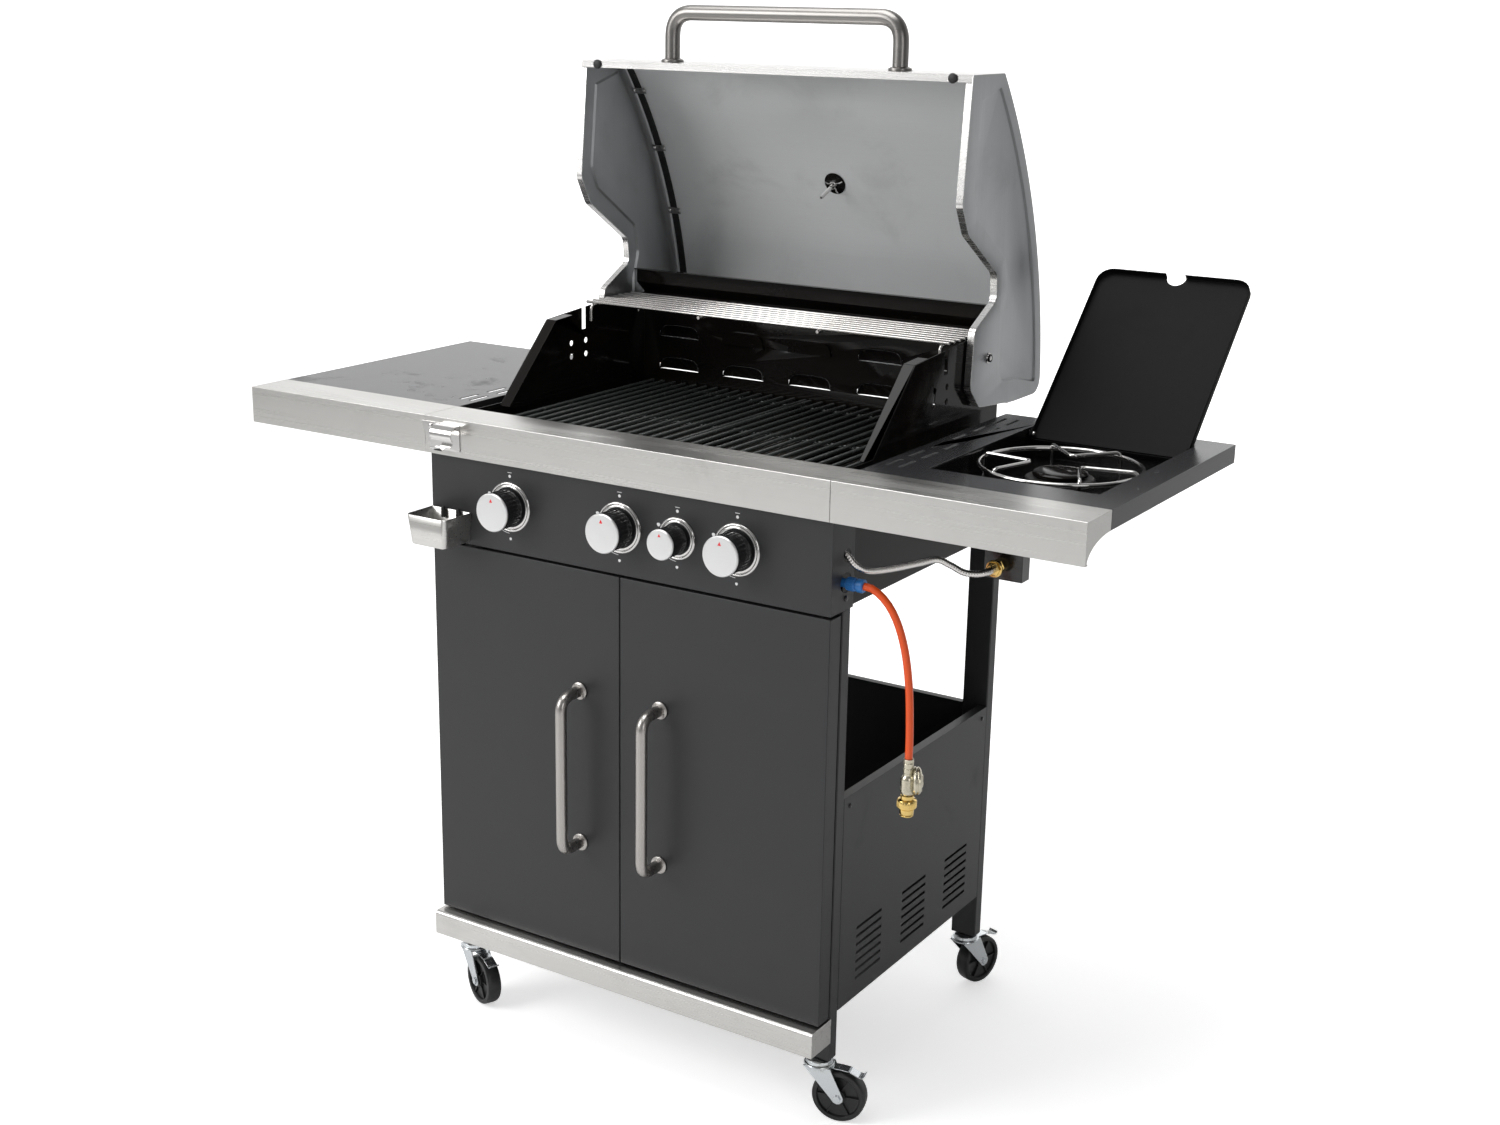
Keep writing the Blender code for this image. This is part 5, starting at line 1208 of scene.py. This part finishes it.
def from_burner(radius, angle):
    return burner_x + radius * math.cos(angle), burner_y + radius * math.sin(angle)


add_tube(bm, [(*from_burner(ring_r, a), ring_z) for a in around(96)], 0.003, 16, loop=True)
for k in range(3):
    middle = math.radians(-147 + 120 * k)
    near, far = from_burner(ring_r, middle - arm_spread), from_burner(ring_r, middle + arm_spread)
    path = [(*near, base_z), (*near, arm_z), (*from_burner(nose_r, middle), arm_z), (*far, arm_z), (*far, base_z)]
    add_tube(bm, bend(path, 0.009, 10), wire, 16)
finish_piece("pan_support_wire", bm, [bright_steel], "frame", ["pan_support"])
print("side burner set, base at", round(base_z, 4))

# %% [markdown]
# ## Gas pipe
# The pipe to the side burner is a corrugated steel tube. Its radius rises and falls along one route, which
# is what lets the real one bend by hand.

# %% Gas pipe and its nut
route_low = [(0.09225, 0.040, 0.8054), (0.09225, 0.040, 0.8094), (0.09625, 0.040, 0.8155),
             (0.10625, 0.042, 0.8185), (0.160, 0.050, 0.8185), (0.240, 0.053, 0.8185), (0.285, 0.052, 0.812),
             (0.309, 0.0495, 0.8055), (0.3235, 0.0490, 0.8010), (0.334, 0.052, 0.7895), (0.346, 0.063, 0.7810),
             (0.366, 0.083, 0.782), (0.392, 0.108, 0.788), (0.410, 0.126, 0.792), (0.424, 0.136, 0.785),
             (0.440, 0.144, 0.776), (0.455, 0.152, 0.7745), (0.4625, 0.160, 0.776), (0.464, 0.166, 0.776),
             (0.464, 0.1765, 0.776)]
pipe, pipe_length = smooth_route([(x, front_y + y, z) for x, y, z in route_low], 0.00115)
bm = bmesh.new()
add_tube(bm, pipe, [0.0043 + 0.0004 * math.cos(math.pi * k / 1.5) for k in range(len(pipe))], 14)
finish_piece("gas_pipe_corrugated", bm, [pipe_steel], "frame", ["gas_pipe"], angle=80)
bm = bmesh.new()
nut_y = front_y + 0.1770
nut_place = (0.464, nut_y, 0.776), (0, 1, 0)
add_turned(bm, mm((0, 0), (8.2, 0), (9.4, 0.8), (9.4, 3.4), (0, 3.4)), *nut_place, 6)
add_turned(bm, mm((0, 3.4), (11.2, 3.4), (11.4, 4.2), (11.4, 6.2), (10.8, 6.8), (0, 6.8)), *nut_place, 36)
threads = [(0.0078 if k % 2 else 0.0086, 0.0070 + 0.0006 * k) for k in range(12)]
add_turned(bm, [(0, 0.0068), *threads, (0, 0.0142)], *nut_place, 30)
add_turned(bm, mm((0, 14.2), (8.4, 14.2), (9.4, 15), (9.4, 21.6), (8.6, 22.4), (0, 22.4)), *nut_place, 6)
finish_piece("gas_pipe_nut", bm, [brass], "frame", ["pipe_fitting"], bevel=0.0002, segments=1)
print("pipe", round(pipe_length, 3), "m long")

# %% [markdown]
# ## Castors
# A castor has a pressed fork on a ball race and a moulded wheel. The wheel is a lathe shape with a web and
# ribs, so it reads as a wheel and turns visibly.

# %% Castors
castors = {"front_left": (-0.3028, 0.0545, -23.7), "front_right": (0.3028, 0.0545, 14.4),
           "rear_left": (-0.3028, 0.4995, 118.0), "rear_right": (0.3028, 0.4995, 73.4)}
wheel_r, trail, rib_count = 0.0375, 0.030, 6
lever_half, lever_plate = 0.0078, 0.0012
for name, (x, y, heading) in castors.items():
    place = Matrix.Translation((x, front_y + y, 0)) @ Matrix.Rotation(math.radians(heading), 4, "Z")
    bm = bmesh.new()
    side = [(0.0045, 0.0118), (0.0096, 0.0118), (0.0102, 0.0112), (0.0106, 0.0062), (0.0275, 0.0056),
            (0.0292, 0.0064), (0.0298, 0.0098), (0.0306, 0.0108), (0.0335, 0.0110), (0.0358, 0.0104),
            (0.0371, 0.0084), (wheel_r, 0.0050)]
    add_turned(bm, side + [(r, -h) for r, h in side[::-1]], (trail, 0, wheel_r), (0, 1, 0), 64)
    for sign in (-1, 1):
        for a in around(rib_count):
            spoke = Matrix.Translation((trail, 0, wheel_r)) @ Matrix.Rotation(a, 4, "Y")
            first = len(bm.verts)
            low, high = sorted((sign * 0.0052, sign * 0.0088))
            add_box(bm, (0.0100, low, -0.0009), (0.0296, high, 0.0009))
            bm.verts.ensure_lookup_table()
            bmesh.ops.transform(bm, matrix=spoke, verts=bm.verts[first:])
    bmesh.ops.transform(bm, matrix=place, verts=bm.verts)
    finish_piece(f"castor_wheel_{name}_moulded", bm, [wheel_black], f"wheel_{name}",
                 [f"castor_wheel_{name}"])
    dress(f"castor_fork_{name}", f"swivel_{name}", zinc_plate, 0.0005)
    bm = bmesh.new()
    lever = mm((17.5, 77.2), (30, 77.5), (44, 76.2), (57, 70.5), (62.5, 69), (66, 73.5))
    lever = bend([(a, 0, b) for a, b in lever], 0.006, 4)
    for near, far in zip(lever, lever[1:]):
        run = (far - near).normalized()
        lift = Vector((-run.z, 0, run.x)) * lever_plate
        add_prism(bm, [(p.x, p.z) for p in (near, far, far + lift, near + lift)], "y", -lever_half, lever_half)
    for sign in (1, -1):
        add_turned(bm, mm((0, 0), (4.6, 0), (4.6, 1.2), (3.4, 2.2), (0, 2.4)),
                   (trail, sign * 0.0152, wheel_r), (0, sign, 0), 24)
    bmesh.ops.transform(bm, matrix=place, verts=bm.verts)
    finish_piece(f"castor_brake_{name}", bm, [zinc_plate], f"swivel_{name}", bevel=0.0002, segments=1)
print(len(castors), "castors assembled")

# %% [markdown]
# ## Screws and small fittings
# Domed screws hold the control panel, the side and rear panels and the firebox. One screw is drawn once
# and laid in rows by the grid tree.

# %% Screws
def one_screw(direction, radius=0.0040):
    bm = bmesh.new()
    add_turned(bm, [(0, -0.0004), (radius, -0.0004), (radius, 0.0004), (radius * 0.90, 0.0013),
                    (radius * 0.62, 0.0020), (0, 0.0022)],
               (0, 0, 0), direction, 18)
    return bm


def screw_row(name, direction, start, count, step, finish=bright_steel, radius=0.0040):
    mesh = copies(one_screw(direction, radius), grid_tree, {
        "Across": count, "Across Step": step, "Along": 1, "Along Step": (0.0, 0.0, 0.0), "Start": start,
        "Finish": finish})
    return place_piece(name, mesh, [finish], "frame")


cheek_x = panel_high.x
for side, sign in (("left", -1), ("right", 1)):
    screw_row(f"screws_panel_{side}", (sign, 0, 0), (sign * (cheek_x + 0.0003), front_y + 0.0565 - 0.009, 0.745),
              2, (0.0, 0.0, 0.132), knob_black)
    screw_row(f"screws_side_{side}", (sign, 0, 0), (sign * 0.3231, front_y + 0.080, 0.452), 2, (0.0, 0.394, 0.0),
              knob_black, 0.0032)
screw_row("screws_rear", (0, 1, 0), (-0.265, front_y + 0.4999, 0.452), 2, (0.530, 0.0, 0.0), knob_black)
screw_row("screws_firebox_back", (0, 1, 0), (-0.240, front_y + 0.5000, 0.860), 5, (0.120, 0.0, 0.0), bright_steel)
print("screws set")

# %% Catcher clips, opener screw and side lid pivots
bm = bmesh.new()
for x in (-0.3005, -0.2735):
    add_tube(bm, [(x, front_y + 0.0060, 0.7630), (x, front_y + 0.0060, 0.7760), (x, front_y + 0.0060, 0.7785)],
             [0.0036, 0.0033, 0.0018], 14)
    add_box(bm, (x - 0.0024, front_y + 0.0052, 0.7650), (x + 0.0024, front_y + 0.0100, 0.7690))
finish_piece("catcher_clips", bm, [rubber_black], "frame", bevel=0.0003, segments=1)
bm = bmesh.new()
for x in (-0.3130, -0.2740):
    add_turned(bm, mm((0, 0), (3.4, 0), (3.2, 1), (2, 1.8), (0, 1.9)), (x, front_y - 0.0016, 0.8930), (0, -1, 0),
               24)
finish_piece("opener_rivets", bm, [bright_steel], "frame")
lean, pivot_y, pivot_z = math.radians(-135.6), front_y + 0.433, 0.900
swing = Matrix.Translation((burner_x, pivot_y, pivot_z)) @ Matrix.Rotation(lean, 4, "X")
bm = bmesh.new()
for sign in (-1, 1):
    add_turned(bm, mm((0, 0), (4.2, 0), (4, 1), (2.6, 2.2), (0, 2.4)), (sign * 0.1088, 0, 0.0040), (-sign, 0, 0),
               24)
bmesh.ops.transform(bm, matrix=swing, verts=bm.verts)
finish_piece("side_lid_pivots", bm, [bright_steel], "side_lid")
print("small fittings set")
